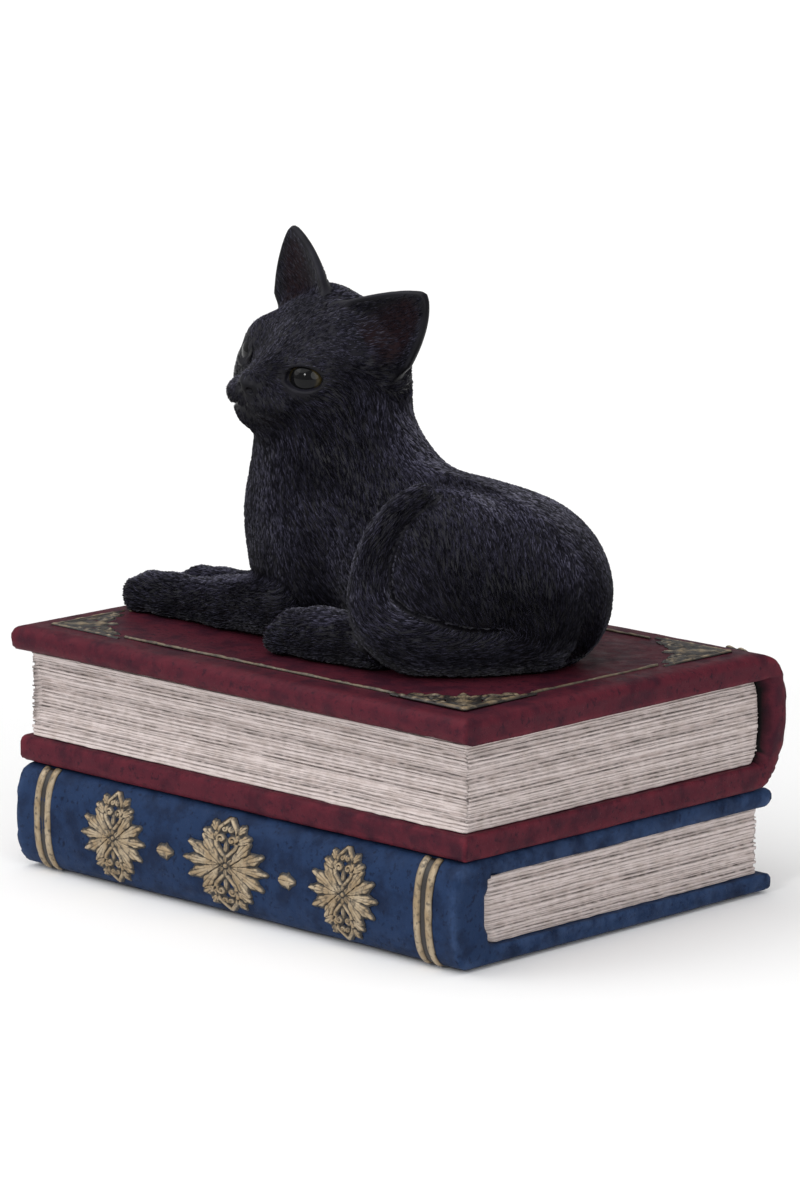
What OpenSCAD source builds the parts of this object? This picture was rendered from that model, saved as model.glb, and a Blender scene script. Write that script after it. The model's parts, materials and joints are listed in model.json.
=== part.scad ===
// A resin keepsake box: a kitten resting on two stacked books. The upper book is the lid.
// Millimetres. +Z up, origin under the middle of the box, fore-edge of the lid towards -Y.

/* [Books] */
// Length of the upper book along its spine
book_l = 139; // [120:1:170]
// Distance between the two spines, front to back
stack_w = 104; // [92:1:130]
// How far the ends of the lower book stand back from the upper one
lower_inset = 1; // [0:0.5:4]
// How far the lid's top board stands past its bottom board
top_board_over = 1.2; // [0:0.1:2.5]
// How far a fore-edge stops short of the other book's spine
fore_edge_inset = 2.5; // [1:0.5:5]
// How far the page block stands back from the boards
square_in = 2.5; // [1.5:0.5:4]

/* [Upper book] */
// Height of the upper book
upper_h = 31.3; // [26:0.5:40]
// Thickness of its boards
upper_board = 6; // [4:0.5:8]
// Depth of its rounded spine
upper_crown = 10.5; // [6:0.5:13]
// Thickness of its spine at mid height
upper_spine_t = 6; // [5:0.5:9]
// How far the rounded back of its pages bulges
upper_page_bulge = 3.3; // [1:0.1:5]

/* [Lower book] */
// Height of the lower book
lower_h = 23.6; // [20:0.5:32]
// Thickness of its boards
lower_board = 4.2; // [3:0.1:6]
// Depth of its rounded spine
lower_crown = 6; // [4:0.5:9]
// Thickness of its spine at mid height
lower_spine_t = 11.8; // [8:0.2:14]
// How far the rounded back of its pages bulges
lower_page_bulge = 2.8; // [1:0.1:4]

/* [Box] */
// Wall left round the compartment, inside the page block
box_wall = 8; // [6:0.5:12]
// Corner radius of the compartment
box_corner = 6; // [3:0.5:10]
// Height of the locating rim under the lid
rim_h = 3.5; // [2:0.5:6]
// Thickness of the locating rim
rim_t = 3; // [2:0.5:5]
// Gap between the rim and the lined compartment
rim_clearance = 0.4; // [0.3:0.1:1]
// Thickness of the felt lining
felt_t = 1; // [0.6:0.1:1.5]
// Diameter of a felt foot
foot_d = 12; // [8:1:18]
// How far a foot stands below the lower book
foot_proud = 0.5; // [0.3:0.1:1]

/* [Ornament] */
// Height of the gilt relief
relief = 0.7; // [0.4:0.1:1.2]
// Leg length of a corner piece
corner_leg = 22; // [16:1:26]
// Distance of a corner piece from the board's edge
corner_inset = 6.3; // [4:0.1:9]
// Width of the raised line round the cover
line_w = 0.9; // [0.6:0.1:1.6]
// Distance of the raised line from the board's edge
line_inset = 8.3; // [6:0.1:12]
// Width of one spine band
band_w = 2.2; // [1.5:0.1:3]
// Gap between the two bands of a pair
band_gap = 1.2; // [0.8:0.1:2]
// Distance of a pair's middle from the end of its book
band_from_end = 9; // [7:0.5:14]
// Distance between two medallions
medallion_pitch = 36; // [30:1:40]

/* [Cat] */
// Height of the seated body above the cover
body_h = 38; // [34:0.5:44]
// Radius of an eye
eye_r = 5.1; // [4:0.1:6]
// Gap of the glue film behind an eye
eye_gap = 0.1; // [0.05:0.05:0.2]
// Tilt of the head towards its left ear
head_roll = 14; // [0:1:18]
// Lift of the nose
head_pitch = 5; // [0:1:12]
// Turn of the head past square to the body, towards the paws
head_turn = -3; // [-20:1:5]

/* [Hidden] */

eps = 0.01;
edge_r = 1.4;
arc_step = 10;
cat_facets = 19;
limb_facets = 15;

lower_z = foot_proud;
seam_z = lower_z + lower_h;
cover_z = seam_z + upper_h;

spine_y = stack_w / 2;
fore_y = spine_y - fore_edge_inset;
lower_l = book_l - 2 * lower_inset;
board_ends = [-book_l / 2 - top_board_over, book_l / 2 + top_board_over];
top_fore_y = -fore_y - top_board_over;

// The compartment is set out from the lower page block, and the lid's hollow from the compartment.
box_l = lower_l - 2 * (square_in + box_wall);
box_y0 = -spine_y + lower_spine_t + box_wall / 2;
box_y1 = fore_y - square_in - box_wall;
box_w = box_y1 - box_y0;
box_mid = (box_y0 + box_y1) / 2;
rim_l = box_l - 2 * (felt_t + rim_clearance);
rim_w = box_w - 2 * (felt_t + rim_clearance);
hollow_l = rim_l - 2 * rim_t;
hollow_w = rim_w - 2 * rim_t;
box_floor_z = lower_z + lower_board;
lid_roof_z = cover_z - upper_board;

// ---------------------------------------------------------------- outlines

// Points of an arc about c from angle a0 to a1.
function arc(c, r, a0, a1) =
    let (n = max(2, ceil(abs(a1 - a0) / arc_step)))
    [for (i = [0:n]) let (a = a0 + (a1 - a0) * i / n) c + r * [cos(a), sin(a)]];

// Outline of a rectangle l by w with round corners of radius r.
function round_rect(l, w, r) = concat(
    arc([l / 2 - r, w / 2 - r], r, 0, 90), arc([-l / 2 + r, w / 2 - r], r, 90, 180),
    arc([-l / 2 + r, -w / 2 + r], r, 180, 270), arc([l / 2 - r, -w / 2 + r], r, 270, 360));

// One side of a rounded spine, from z0 up to z1, standing out by crown from y = foot.
// The curve is drawn out to the angle reach on both sides of its middle.
function spine_curve(foot, crown, z0, z1, reach = 90) = [
    for (a = [-reach:arc_step:reach])
        [foot + crown * pow(cos(a), 0.75), (z0 + z1) / 2 + (z1 - z0) / 2 * sign(a) * pow(abs(sin(a)), 0.85)]
];

function reversed(list) = [for (i = [len(list) - 1:-1:0]) list[i]];

// Cross-section of a binding: two boards and a rounded spine, fore-edge at -y.
module binding_section(h, board, crown, spine_t, bulge, fore, over) {
    foot = spine_y - crown;
    polygon(concat(
        arc([-fore + edge_r, edge_r], edge_r, 180, 270),
        spine_curve(foot, crown, 0, h),
        arc([-fore - over + board * 0.4, h - board * 0.4], board * 0.4, 90, 180),
        arc([-fore - over + board * 0.4, h - board * 0.6], board * 0.4, 180, 270),
        reversed(spine_curve(spine_y - spine_t - bulge, bulge, board, h - board)),
        arc([-fore + edge_r, board - edge_r], edge_r, 90, 180)));
}

// Cross-section of a page block: hollow fore-edge, back rounded to fit its spine.
module pages_section(h, board, spine_t, bulge, fore) {
    mid = h / 2;
    half = h / 2 - board;
    polygon(concat(
        spine_curve(spine_y - spine_t - bulge, bulge, board, h - board),
        [for (i = [12:-1:0]) let (t = i / 6 - 1) [-fore + square_in + 2.6 * (1 - t * t), mid + half * t]]));
}

// Extrudes a (y, z) section along X, centred, of length l.
module along_x(l) {
    rotate([90, 0, 90]) translate([0, 0, -l / 2]) linear_extrude(l) children();
}

// A side view of a book whose board ends are rounded; the top board stands out by over.
module rounded_ends(l, h, board, over, nose) {
    side = concat(
        arc([l / 2 - edge_r, edge_r], edge_r, -90, 0),
        over > 0 ? [[l / 2, h - board], [l / 2 + over, h - board]] : [],
        arc([l / 2 + over - nose, h - nose], nose, 0, 90));
    rotate([90, 0, 0]) linear_extrude(3 * stack_w, center = true)
        polygon(concat(side, [for (p = reversed(side)) [-p[0], p[1]]]));
}

// A prism of the compartment's outline, moved to its middle.
module compartment_block(l, w, r, z0, z1) {
    translate([0, box_mid, z0]) linear_extrude(z1 - z0) polygon(round_rect(l, w, r));
}

// ---------------------------------------------------------------- the two books

module lower_binding() {
    color("midnightblue") difference() {
        translate([0, 0, lower_z]) intersection() {
            mirror([0, 1, 0]) along_x(lower_l)
                binding_section(lower_h, lower_board, lower_crown, lower_spine_t, lower_page_bulge, fore_y, 0);
            rounded_ends(lower_l, lower_h, lower_board, 0, lower_board * 0.4);
        }
        compartment_block(box_l, box_w, box_corner, box_floor_z, seam_z + eps);
        feet_at() translate([0, 0, -eps]) cylinder(d = foot_d + 0.4, h = foot_proud + 1 + eps, $fn = 48);
    }
}

module lower_pages() {
    color("antiquewhite") difference() {
        translate([0, 0, lower_z]) mirror([0, 1, 0])
            along_x(lower_l - 2 * square_in)
                pages_section(lower_h, lower_board, lower_spine_t, lower_page_bulge, fore_y);
        compartment_block(box_l, box_w, box_corner, box_floor_z - eps, seam_z);
    }
}

module upper_binding() {
    color("darkred") difference() {
        union() {
            translate([0, 0, seam_z]) intersection() {
                along_x(book_l + 2 * top_board_over)
                    binding_section(upper_h, upper_board, upper_crown, upper_spine_t,
                        upper_page_bulge, fore_y, top_board_over);
                rounded_ends(book_l, upper_h, upper_board, top_board_over, upper_board * 0.4);
            }
            compartment_block(rim_l, rim_w, box_corner - felt_t - rim_clearance, seam_z - rim_h, seam_z + eps);
        }
        compartment_block(hollow_l, hollow_w, box_corner / 2, seam_z - rim_h - eps, lid_roof_z);
    }
}

module upper_pages() {
    color("antiquewhite") difference() {
        translate([0, 0, seam_z])
            along_x(book_l - 2 * square_in)
                pages_section(upper_h, upper_board, upper_spine_t, upper_page_bulge, fore_y);
        compartment_block(hollow_l, hollow_w, box_corner / 2, seam_z, lid_roof_z + eps);
    }
}

// ---------------------------------------------------------------- felt

module compartment_floor_felt() {
    color("black") compartment_block(box_l, box_w, box_corner, box_floor_z, box_floor_z + felt_t);
}

module compartment_wall_felt() {
    color("black") difference() {
        compartment_block(box_l, box_w, box_corner, box_floor_z + felt_t, seam_z);
        compartment_block(box_l - 2 * felt_t, box_w - 2 * felt_t, box_corner - felt_t,
            box_floor_z + felt_t - eps, seam_z + eps);
    }
}

module feet_at() {
    for (x = [-1, 1], y = [-1, 1])
        translate([x * (lower_l / 2 - foot_d), y * (fore_y - foot_d), 0]) children();
}

module felt_feet() {
    color("dimgray") feet_at() cylinder(d = foot_d, h = foot_proud + 1, $fn = 48);
}

// ---------------------------------------------------------------- gilt ornament

// The thin skin that lies on a spine: side -1 is the lower book's, 1 the upper book's.
module spine_skin(side, l) {
    h = side < 0 ? lower_h : upper_h;
    crown = side < 0 ? lower_crown : upper_crown;
    z = side < 0 ? lower_z : seam_z;
    outer = spine_curve(spine_y - crown, crown, 0, h, 70);
    raised = [for (p = outer) p + [relief, 0]];
    translate([0, 0, z]) mirror([0, side < 0 ? 1 : 0, 0]) along_x(l)
        polygon(concat(outer, reversed(raised)));
}

// A pair of spine bands at one end of a book.
module band_pair(side, end) {
    l = side < 0 ? lower_l : book_l;
    for (k = [-1, 1])
        translate([end * (l / 2 - band_from_end) + k * (band_w + band_gap) / 2, 0, 0])
            spine_skin(side, band_w);
}

// Outline of a leafy rosette with n lobes, wide by tall.
function rosette(wide, tall, n, depth) = [
    for (a = [0:4:356]) let (r = 1 - depth * pow(abs(sin(n * a / 2)), 1.6)) [wide / 2 * r * cos(a), tall / 2 * r * sin(a)]
];

// A medallion cut out of the skin of a spine.
module spine_medallion(side, x, wide, tall, lobes, depth) {
    z = side < 0 ? lower_z + lower_h / 2 : seam_z + upper_h / 2;
    intersection() {
        spine_skin(side, book_l);
        translate([x, side * spine_y / 2, z]) rotate([90, 0, 0])
            linear_extrude(spine_y * 2, center = true) polygon(rosette(wide, tall, lobes, depth));
    }
}

module medallion(side, k) {
    tall = side < 0 ? lower_h - 2 : upper_h - 8;
    color("goldenrod") spine_medallion(side, k * medallion_pitch, k == 0 ? 27 : 21, tall, k == 0 ? 16 : 14, 0.22);
}

module floret(side, k) {
    color("goldenrod") spine_medallion(side, k * medallion_pitch * 0.53, 5.2, 4.2, 4, 0.3);
}

// A filigree corner piece with its tip at the origin and its legs along +x and +y.
module corner_piece() {
    leg = corner_leg;
    polygon([[0, 0], [leg, 0], [leg * 0.84, leg * 0.1], [leg * 0.72, leg * 0.09], [leg * 0.66, leg * 0.24],
        [leg * 0.52, leg * 0.3], [leg * 0.56, leg * 0.44], [leg * 0.44, leg * 0.56], [leg * 0.3, leg * 0.52],
        [leg * 0.24, leg * 0.66], [leg * 0.09, leg * 0.72], [leg * 0.1, leg * 0.84], [0, leg]]);
}

module cover_corner(x_side, y_side) {
    x = board_ends[1] - corner_inset;
    y = y_side < 0 ? -top_fore_y - corner_inset : spine_y - upper_crown - 1;
    color("tan") translate([0, 0, cover_z]) linear_extrude(relief)
        scale([x_side, y_side]) translate([x, y]) rotate(180) corner_piece();
}

// The raised line round the cover, broken at the corner pieces.
module cover_line() {
    x = board_ends[1] - line_inset;
    y0 = top_fore_y + line_inset;
    y1 = spine_y - upper_crown - 3;
    reach = corner_leg + corner_inset - line_inset + 1;
    color("tan") translate([0, 0, cover_z]) linear_extrude(relief) {
        for (y = [y0, y1])
            translate([-x + reach, y - line_w / 2]) square([2 * (x - reach), line_w]);
        for (s = [-1, 1])
            translate([s * x - line_w / 2, y0 + reach]) square([line_w, y1 - y0 - 2 * reach]);
    }
}

// ---------------------------------------------------------------- the cat

head_at = [-19.4, -1.8, cover_z + 59.2];

// An ellipsoid with half-axes r.
module blob(at, r, turn = [0, 0, 0]) {
    translate(at) rotate(turn) scale(r) sphere(1, $fn = cat_facets);
}

// The same, with its middle given above the cover.
module body_blob(at, r, turn = [0, 0, 0]) {
    blob(at + [0, 0, cover_z], r, turn);
}

// Joins each ball of a chain to the next. A link is [x, y, z above the cover, radius].
module chain(links) {
    for (i = [0:len(links) - 2]) hull() {
        link_ball(links[i]);
        link_ball(links[i + 1]);
    }
}

module link_ball(link) {
    translate([link[0], link[1], cover_z + link[2]]) sphere(link[3], $fn = limb_facets);
}

// Places a shape in the head: +x is the cat's left, -y its nose, +z its crown.
module in_head() {
    translate(head_at) rotate([0, 0, head_turn]) rotate([0, head_roll, 0]) rotate([-head_pitch, 0, 0]) children();
}

// A leaf-shaped ear, hollow in front.
module ear(side) {
    difference() {
        hull() {
            blob([side * 5, 2.4, 11.5], [2, 2.4, 2]);
            blob([side * 18.6, 3.2, 3.8], [1.6, 2.6, 2]);
            blob([side * 20.4, 1.4, 17], [3.2, 1.8, 3.2]);
            blob([side * 21.9, 1, 23.6], [1.4, 1.2, 1.4]);
        }
        hull() {
            blob([side * 9, -1.6, 13], [1.4, 2.6, 1.4]);
            blob([side * 18, -1, 7], [1.4, 2.8, 1.4]);
            blob([side * 20.6, -1.4, 19.5], [1.4, 2, 1.4]);
        }
    }
}

module head() {
    blob([0, 2, 0.2], [17.2, 17.5, 16]);
    blob([0, -4.5, -5], [16.3, 12, 10.5]);
    hull() {
        blob([0, -9, 4], [5, 5, 4.5]);
        blob([0, -19, -3.6], [2.8, 2.8, 2.6]);
    }
    blob([0, -14.4, -7], [8, 7, 5.2]);
    for (side = [-1, 1]) {
        blob([side * 9, -7, -6.4], [7.4, 7.3, 6.6]);
        blob([side * 3.5, -17.2, -7.6], [4.4, 4.4, 3.3]);
        ear(side);
    }
    blob([0, -16.2, -11], [4.4, 4, 2.6]);
}

module torso() {
    body_blob([24.5, -1, body_h / 2 - 1], [32.8, 24, body_h / 2 + 0.5]);
    body_blob([-15.5, -4, 21], [19.5, 17.5, 27]);
    chain([[-15.5, -4, 30, 17.5], [-17, -2.5, 50, 16.5]]);
    chain([[-13, -2.5, 42, 15], [9, -2, 20, 17]]);
    chain([[-6, -2, 20, 16.5], [18, -2, 17.5, 19]]);
    body_blob([-11, -15.5, 16], [13, 9, 16], [0, 14, 0]);
    body_blob([-11, 9, 16], [13, 9, 16], [0, 14, 0]);
    body_blob([29, -13, 16.5], [20.5, 14.5, 18], [0, -8, 0]);
    body_blob([26, 10, 16.5], [22.5, 13, 17], [0, -8, 0]);
}

module hind_foot(y, reach) {
    chain([[20, y, 5.6, 6], [-reach + 8, y, 5.2, 5.8], [-reach, y, 4.6, 5.3]]);
}

module front_leg(y, reach) {
    chain([[-14, y, 8.5, 8.2], [-34, y, 5.2, 5.6], [-reach, y, 4.4, 5.4]]);
}

// The tail leaves the rump, wraps round the near haunch and ends with its tip up on the flank.
module tail() {
    chain([[34, 14, 12, 10], [43, 6, 9, 8.6], [45, -6, 7.5, 7.6], [41, -17, 6.8, 7], [33, -25, 6.6, 6.6],
        [26, -28.5, 8.5, 6], [20.5, -29.6, 13, 5.3], [18.2, -28.6, 20, 4.7], [19.5, -26, 28, 4.1],
        [23.6, -22.5, 34.5, 3.4], [28, -19, 38.5, 2.5]]);
}

module cat() {
    color("black") difference() {
        union() {
            torso();
            hind_foot(-28, 4);
            hind_foot(22.5, 9);
            front_leg(-18, 57.7);
            front_leg(-6, 55);
            tail();
            in_head() head();
        }
        translate([-book_l, -book_l, cover_z - 2 * body_h]) cube([2 * book_l, 2 * book_l, 2 * body_h]);
        for (side = [-1, 1]) in_head() eye_ball(side, eye_r + eye_gap);
    }
}

module eye_ball(side, r) {
    translate([side * 8, -11.6, 0.1]) sphere(r, $fn = 40);
}

module eye(side) {
    color("darkolivegreen") in_head() eye_ball(side, eye_r);
}

lower_binding();
lower_pages();
color("goldenrod") band_pair(-1, -1);  // lower_bands_left
color("goldenrod") band_pair(-1, 1);  // lower_bands_right
medallion(-1, -1);  // medallion_left
medallion(-1, 0);  // medallion_centre
medallion(-1, 1);  // medallion_right
floret(-1, -1);  // floret_left
floret(-1, 1);  // floret_right
compartment_floor_felt();
compartment_wall_felt();
felt_feet();
upper_binding();
upper_pages();
color("goldenrod") band_pair(1, -1);  // upper_bands_left
color("goldenrod") band_pair(1, 1);  // upper_bands_right
medallion(1, -1);  // lid_medallion_left
medallion(1, 0);  // lid_medallion_centre
medallion(1, 1);  // lid_medallion_right
floret(1, -1);  // lid_floret_left
floret(1, 1);  // lid_floret_right
cover_corner(-1, -1);  // corner_fore_left
cover_corner(1, -1);  // corner_fore_right
cover_corner(-1, 1);  // corner_spine_left
cover_corner(1, 1);  // corner_spine_right
cover_line();
cat();
eye(1);  // eye_left
eye(-1);  // eye_right
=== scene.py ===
"""A kitten lying on two stacked books, whose upper book is the lid of a keepsake box.

Metres in the scene, millimetres in the sculpting helpers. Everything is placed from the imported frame.
"""
import json
import math

import bpy
import numpy as np
from mathutils import Matrix, Vector

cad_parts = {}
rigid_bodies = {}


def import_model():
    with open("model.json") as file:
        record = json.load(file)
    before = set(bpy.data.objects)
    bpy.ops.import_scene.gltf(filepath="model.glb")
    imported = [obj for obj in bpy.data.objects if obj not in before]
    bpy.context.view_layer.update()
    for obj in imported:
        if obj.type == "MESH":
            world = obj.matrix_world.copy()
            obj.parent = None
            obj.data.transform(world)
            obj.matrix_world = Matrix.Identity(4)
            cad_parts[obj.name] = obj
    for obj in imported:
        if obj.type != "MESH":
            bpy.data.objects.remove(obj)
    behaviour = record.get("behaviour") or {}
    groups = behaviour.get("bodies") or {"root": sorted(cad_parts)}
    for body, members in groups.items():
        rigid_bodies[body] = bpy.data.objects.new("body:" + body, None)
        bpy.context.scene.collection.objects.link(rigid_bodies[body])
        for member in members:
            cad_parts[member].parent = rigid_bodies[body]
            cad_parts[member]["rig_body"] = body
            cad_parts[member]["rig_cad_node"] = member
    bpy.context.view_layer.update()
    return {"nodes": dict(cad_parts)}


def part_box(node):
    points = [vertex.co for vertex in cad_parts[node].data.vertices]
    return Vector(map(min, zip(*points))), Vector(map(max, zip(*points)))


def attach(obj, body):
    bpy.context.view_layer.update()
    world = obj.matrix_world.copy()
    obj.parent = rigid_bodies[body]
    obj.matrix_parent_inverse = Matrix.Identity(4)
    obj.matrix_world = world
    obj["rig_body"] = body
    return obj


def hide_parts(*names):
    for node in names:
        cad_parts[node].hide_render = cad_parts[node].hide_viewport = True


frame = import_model()

MM = 0.001
rng = np.random.default_rng(7)


def mm_box(node):
    """Lowest and highest corner of a CAD node, in millimetres."""
    lo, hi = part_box(node)
    return np.array(lo) / MM, np.array(hi) / MM


upper_hi = mm_box("upper_binding")[1]
lower_lo, lower_hi = mm_box("lower_binding")
upper_pages_lo, upper_pages_hi = mm_box("upper_pages")
lower_pages_lo, lower_pages_hi = mm_box("lower_pages")
COVER_Z = upper_hi[2]
SEAM_Z = lower_hi[2]
SPINE_Y = upper_hi[1]
UPPER_CROWN = 10.5
LOWER_CROWN = 6.0
BOARD_OVER = 1.2
GUTTER_DEEP = 2.4
GUTTER_WIDE = 1.7
RELIEF = 0.7
FUR_STROKES = 96000


# ---------------------------------------------------------------- camera, light and floor

def place_camera():
    """Long lens, three-quarter view over the corner between fore-edge and end, a little from above."""
    azimuth, elevation, distance = math.radians(44.45), math.radians(11.38), 1.26
    right = Vector((math.cos(azimuth), math.sin(azimuth), 0))
    back = Vector((math.sin(azimuth) * math.cos(elevation), -math.cos(azimuth) * math.cos(elevation),
                   math.sin(elevation)))
    target = right * 0.00136 + Vector((0, 0, 0.0637))
    bpy.ops.object.camera_add(location=target + back * distance)
    camera = bpy.context.object
    camera.data.lens = 170.4
    camera.data.sensor_width = 36
    camera.rotation_mode = "QUATERNION"
    camera.rotation_quaternion = (-back).to_track_quat("-Z", "Y")
    camera.data.clip_start, camera.data.clip_end = 0.05, 20
    bpy.context.scene.camera = camera


def wide_sun(name, direction, spread, power):
    """A sun as wide as a big softbox, so its light is the same all over the floor."""
    bpy.ops.object.light_add(type="SUN", location=(0, 0, 1))
    light = bpy.context.object
    light.name = name
    light.data.angle = math.radians(spread)
    light.data.energy = power
    light.rotation_mode = "QUATERNION"
    light.rotation_quaternion = (-Vector(direction)).to_track_quat("-Z", "Y")


def light_studio():
    world = bpy.data.worlds.new("studio")
    bpy.context.scene.world = world
    world.use_nodes = True
    background = world.node_tree.nodes["Background"]
    background.inputs["Color"].default_value = (1, 1, 1, 1)
    background.inputs["Strength"].default_value = 0.42
    wide_sun("overhead", (-0.25, -0.35, 1.0), 80, 1.55)
    wide_sun("left_front", (-0.9, -1.0, 0.75), 35, 0.35)
    wide_sun("right_front", (1.0, -0.45, 0.45), 40, 0.92)
    wide_sun("glint", (0.17, -0.88, 0.43), 9, 0.55)
    bpy.context.scene.view_settings.view_transform = "Standard"


def lay_floor():
    bpy.ops.mesh.primitive_plane_add(size=30, location=(0, 0, 0))
    floor = bpy.context.object
    floor.name = "floor"
    paint = bpy.data.materials.new("floor")
    paint.use_nodes = True
    shader = paint.node_tree.nodes["Principled BSDF"]
    shader.inputs["Base Color"].default_value = (0.97, 0.97, 0.97, 1)
    shader.inputs["Roughness"].default_value = 0.9
    floor.data.materials.append(paint)


# ---------------------------------------------------------------- material helpers

class Paint:
    """A material with its Principled shader, and short ways to add and join nodes."""

    def __init__(self, name, rough=0.5, metallic=0.0):
        self.material = bpy.data.materials.new(name)
        self.material.use_nodes = True
        self.tree = self.material.node_tree
        self.shader = self.tree.nodes["Principled BSDF"]
        self.shader.inputs["Roughness"].default_value = rough
        self.shader.inputs["Metallic"].default_value = metallic

    def add(self, kind, **values):
        made = self.tree.nodes.new(kind)
        for key, value in values.items():
            setattr(made, key, value)
        return made

    def put(self, target, value):
        if isinstance(value, bpy.types.NodeSocket):
            self.tree.links.new(value, target)
        else:
            target.default_value = value

    def place(self):
        return self.add("ShaderNodeTexCoord").outputs["Object"]

    def attribute(self, name):
        return self.add("ShaderNodeAttribute", attribute_name=name).outputs["Fac"]

    def noise(self, scale, detail=4, rough=0.55):
        made = self.add("ShaderNodeTexNoise")
        self.put(made.inputs["Vector"], self.place())
        made.inputs["Scale"].default_value = scale
        made.inputs["Detail"].default_value = detail
        made.inputs["Roughness"].default_value = rough
        return made.outputs["Fac"]

    def steps(self, value, low, high):
        made = self.add("ShaderNodeMapRange", clamp=True)
        self.put(made.inputs["Value"], value)
        made.inputs["From Min"].default_value = low
        made.inputs["From Max"].default_value = high
        return made.outputs["Result"]

    def sum(self, kind, a, b):
        made = self.add("ShaderNodeMath", operation=kind)
        self.put(made.inputs[0], a)
        self.put(made.inputs[1], b)
        return made.outputs[0]

    def mix(self, amount, a, b):
        made = self.add("ShaderNodeMix", data_type="RGBA")
        self.put(made.inputs[0], amount)
        self.put(made.inputs[6], a)
        self.put(made.inputs[7], b)
        return made.outputs[2]

    def group(self, tree, **values):
        made = self.add("ShaderNodeGroup", node_tree=tree)
        for key, value in values.items():
            self.put(made.inputs[key.replace("_", " ")], value)
        return made

    def bump(self, height, depth, strength=1.0):
        made = self.add("ShaderNodeBump")
        made.inputs["Distance"].default_value = depth
        made.inputs["Strength"].default_value = strength
        self.put(made.inputs["Height"], height)
        self.put(self.shader.inputs["Normal"], made.outputs["Normal"])


def new_group(name, inputs, outputs):
    tree = bpy.data.node_groups.new(name, "ShaderNodeTree")
    for label, kind, value in inputs:
        socket = tree.interface.new_socket(name=label, in_out="INPUT", socket_type=kind)
        if value is not None:
            socket.default_value = value
    for label, kind in outputs:
        tree.interface.new_socket(name=label, in_out="OUTPUT", socket_type=kind)
    return tree, tree.nodes.new("NodeGroupInput"), tree.nodes.new("NodeGroupOutput")


def cast_paint_group():
    """Mottled hand paint over a casting: a colour clouded with a darker one, rubbed bright on the edges, and
    painted shade darkening the creases to near black.
    """
    tree, given, made = new_group(
        "cast_paint",
        [("Body", "NodeSocketColor", None), ("Cloud", "NodeSocketColor", None),
         ("Rubbed", "NodeSocketColor", None), ("Edge", "NodeSocketFloat", 0.0),
         ("Hollow", "NodeSocketFloat", 0.0), ("Cloud Size", "NodeSocketFloat", 60.0),
         ("Cloud Amount", "NodeSocketFloat", 0.8)],
        [("Color", "NodeSocketColor"), ("Height", "NodeSocketFloat"), ("Gloss Break", "NodeSocketFloat")])
    nodes, links = tree.nodes, tree.links
    place = nodes.new("ShaderNodeTexCoord").outputs["Object"]

    def noise(scale, detail):
        made_noise = nodes.new("ShaderNodeTexNoise")
        links.new(place, made_noise.inputs["Vector"])
        if isinstance(scale, bpy.types.NodeSocket):
            links.new(scale, made_noise.inputs["Scale"])
        else:
            made_noise.inputs["Scale"].default_value = scale
        made_noise.inputs["Detail"].default_value = detail
        made_noise.inputs["Roughness"].default_value = 0.6
        return made_noise.outputs["Fac"]

    def ranged(value, low, high):
        step = nodes.new("ShaderNodeMapRange")
        links.new(value, step.inputs["Value"])
        step.inputs["From Min"].default_value = low
        step.inputs["From Max"].default_value = high
        return step.outputs["Result"]

    def math_node(kind, a, b):
        step = nodes.new("ShaderNodeMath")
        step.operation = kind
        for slot, value in zip(step.inputs, (a, b)):
            if isinstance(value, bpy.types.NodeSocket):
                links.new(value, slot)
            else:
                slot.default_value = value
        return step.outputs[0]

    def mixed(amount, a, b):
        step = nodes.new("ShaderNodeMix")
        step.data_type = "RGBA"
        links.new(amount, step.inputs[0])
        links.new(a, step.inputs[6])
        links.new(b, step.inputs[7])
        return step.outputs[2]

    clouds = ranged(noise(given.outputs["Cloud Size"], 9), 0.47, 0.60)
    clouds = math_node("MULTIPLY", clouds, given.outputs["Cloud Amount"])
    specks = ranged(noise(800, 4), 0.56, 0.66)
    shade = math_node("MAXIMUM", clouds, math_node("MULTIPLY", specks, 0.8))
    # Painted shade: the crease (Hollow) mask gives creases the darker cloud colour.
    shade = math_node("MAXIMUM", shade, given.outputs["Hollow"])
    body = mixed(shade, given.outputs["Body"], given.outputs["Cloud"])
    rub = math_node("MULTIPLY", given.outputs["Edge"], ranged(noise(260, 5), 0.36, 0.60))
    # Painted shade: deep creases go near black, by the crease mask squared.
    painted_crease_shade = nodes.new("ShaderNodeRGB")
    painted_crease_shade.outputs[0].default_value = (0.004, 0.003, 0.0035, 1)
    deep = math_node("POWER", given.outputs["Hollow"], 2.0)
    links.new(mixed(deep, mixed(rub, body, given.outputs["Rubbed"]), painted_crease_shade.outputs[0]), made.inputs["Color"])
    pits = math_node("MULTIPLY", ranged(noise(1500, 2), 0.62, 0.70), -1.0)
    height = math_node("ADD", math_node("MULTIPLY", noise(420, 5), 0.8), pits)
    links.new(height, made.inputs["Height"])
    links.new(noise(320, 4), made.inputs["Gloss Break"])
    return tree


cast_paint = cast_paint_group()


def cover_paint(name, body, cloud, rubbed, cloud_size, amount, low_gloss, high_gloss):
    paint = Paint(name)
    # The hollow mask is painted shade: the group darkens creases with it.
    made = paint.group(cast_paint, Body=body, Cloud=cloud, Rubbed=rubbed, Edge=paint.attribute("edge"),
                       Hollow=paint.attribute("hollow"), Cloud_Size=cloud_size, Cloud_Amount=amount)
    paint.put(paint.shader.inputs["Base Color"], made.outputs["Color"])
    rough = paint.add("ShaderNodeMapRange")
    paint.put(rough.inputs["Value"], made.outputs["Gloss Break"])
    rough.inputs["From Min"].default_value = 0.3
    rough.inputs["From Max"].default_value = 0.7
    rough.inputs["To Min"].default_value = low_gloss
    rough.inputs["To Max"].default_value = high_gloss
    paint.put(paint.shader.inputs["Roughness"], rough.outputs["Result"])
    paint.shader.inputs["Specular IOR Level"].default_value = 0.072
    paint.bump(made.outputs["Height"], 0.00012, 0.7)
    return paint.material


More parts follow.
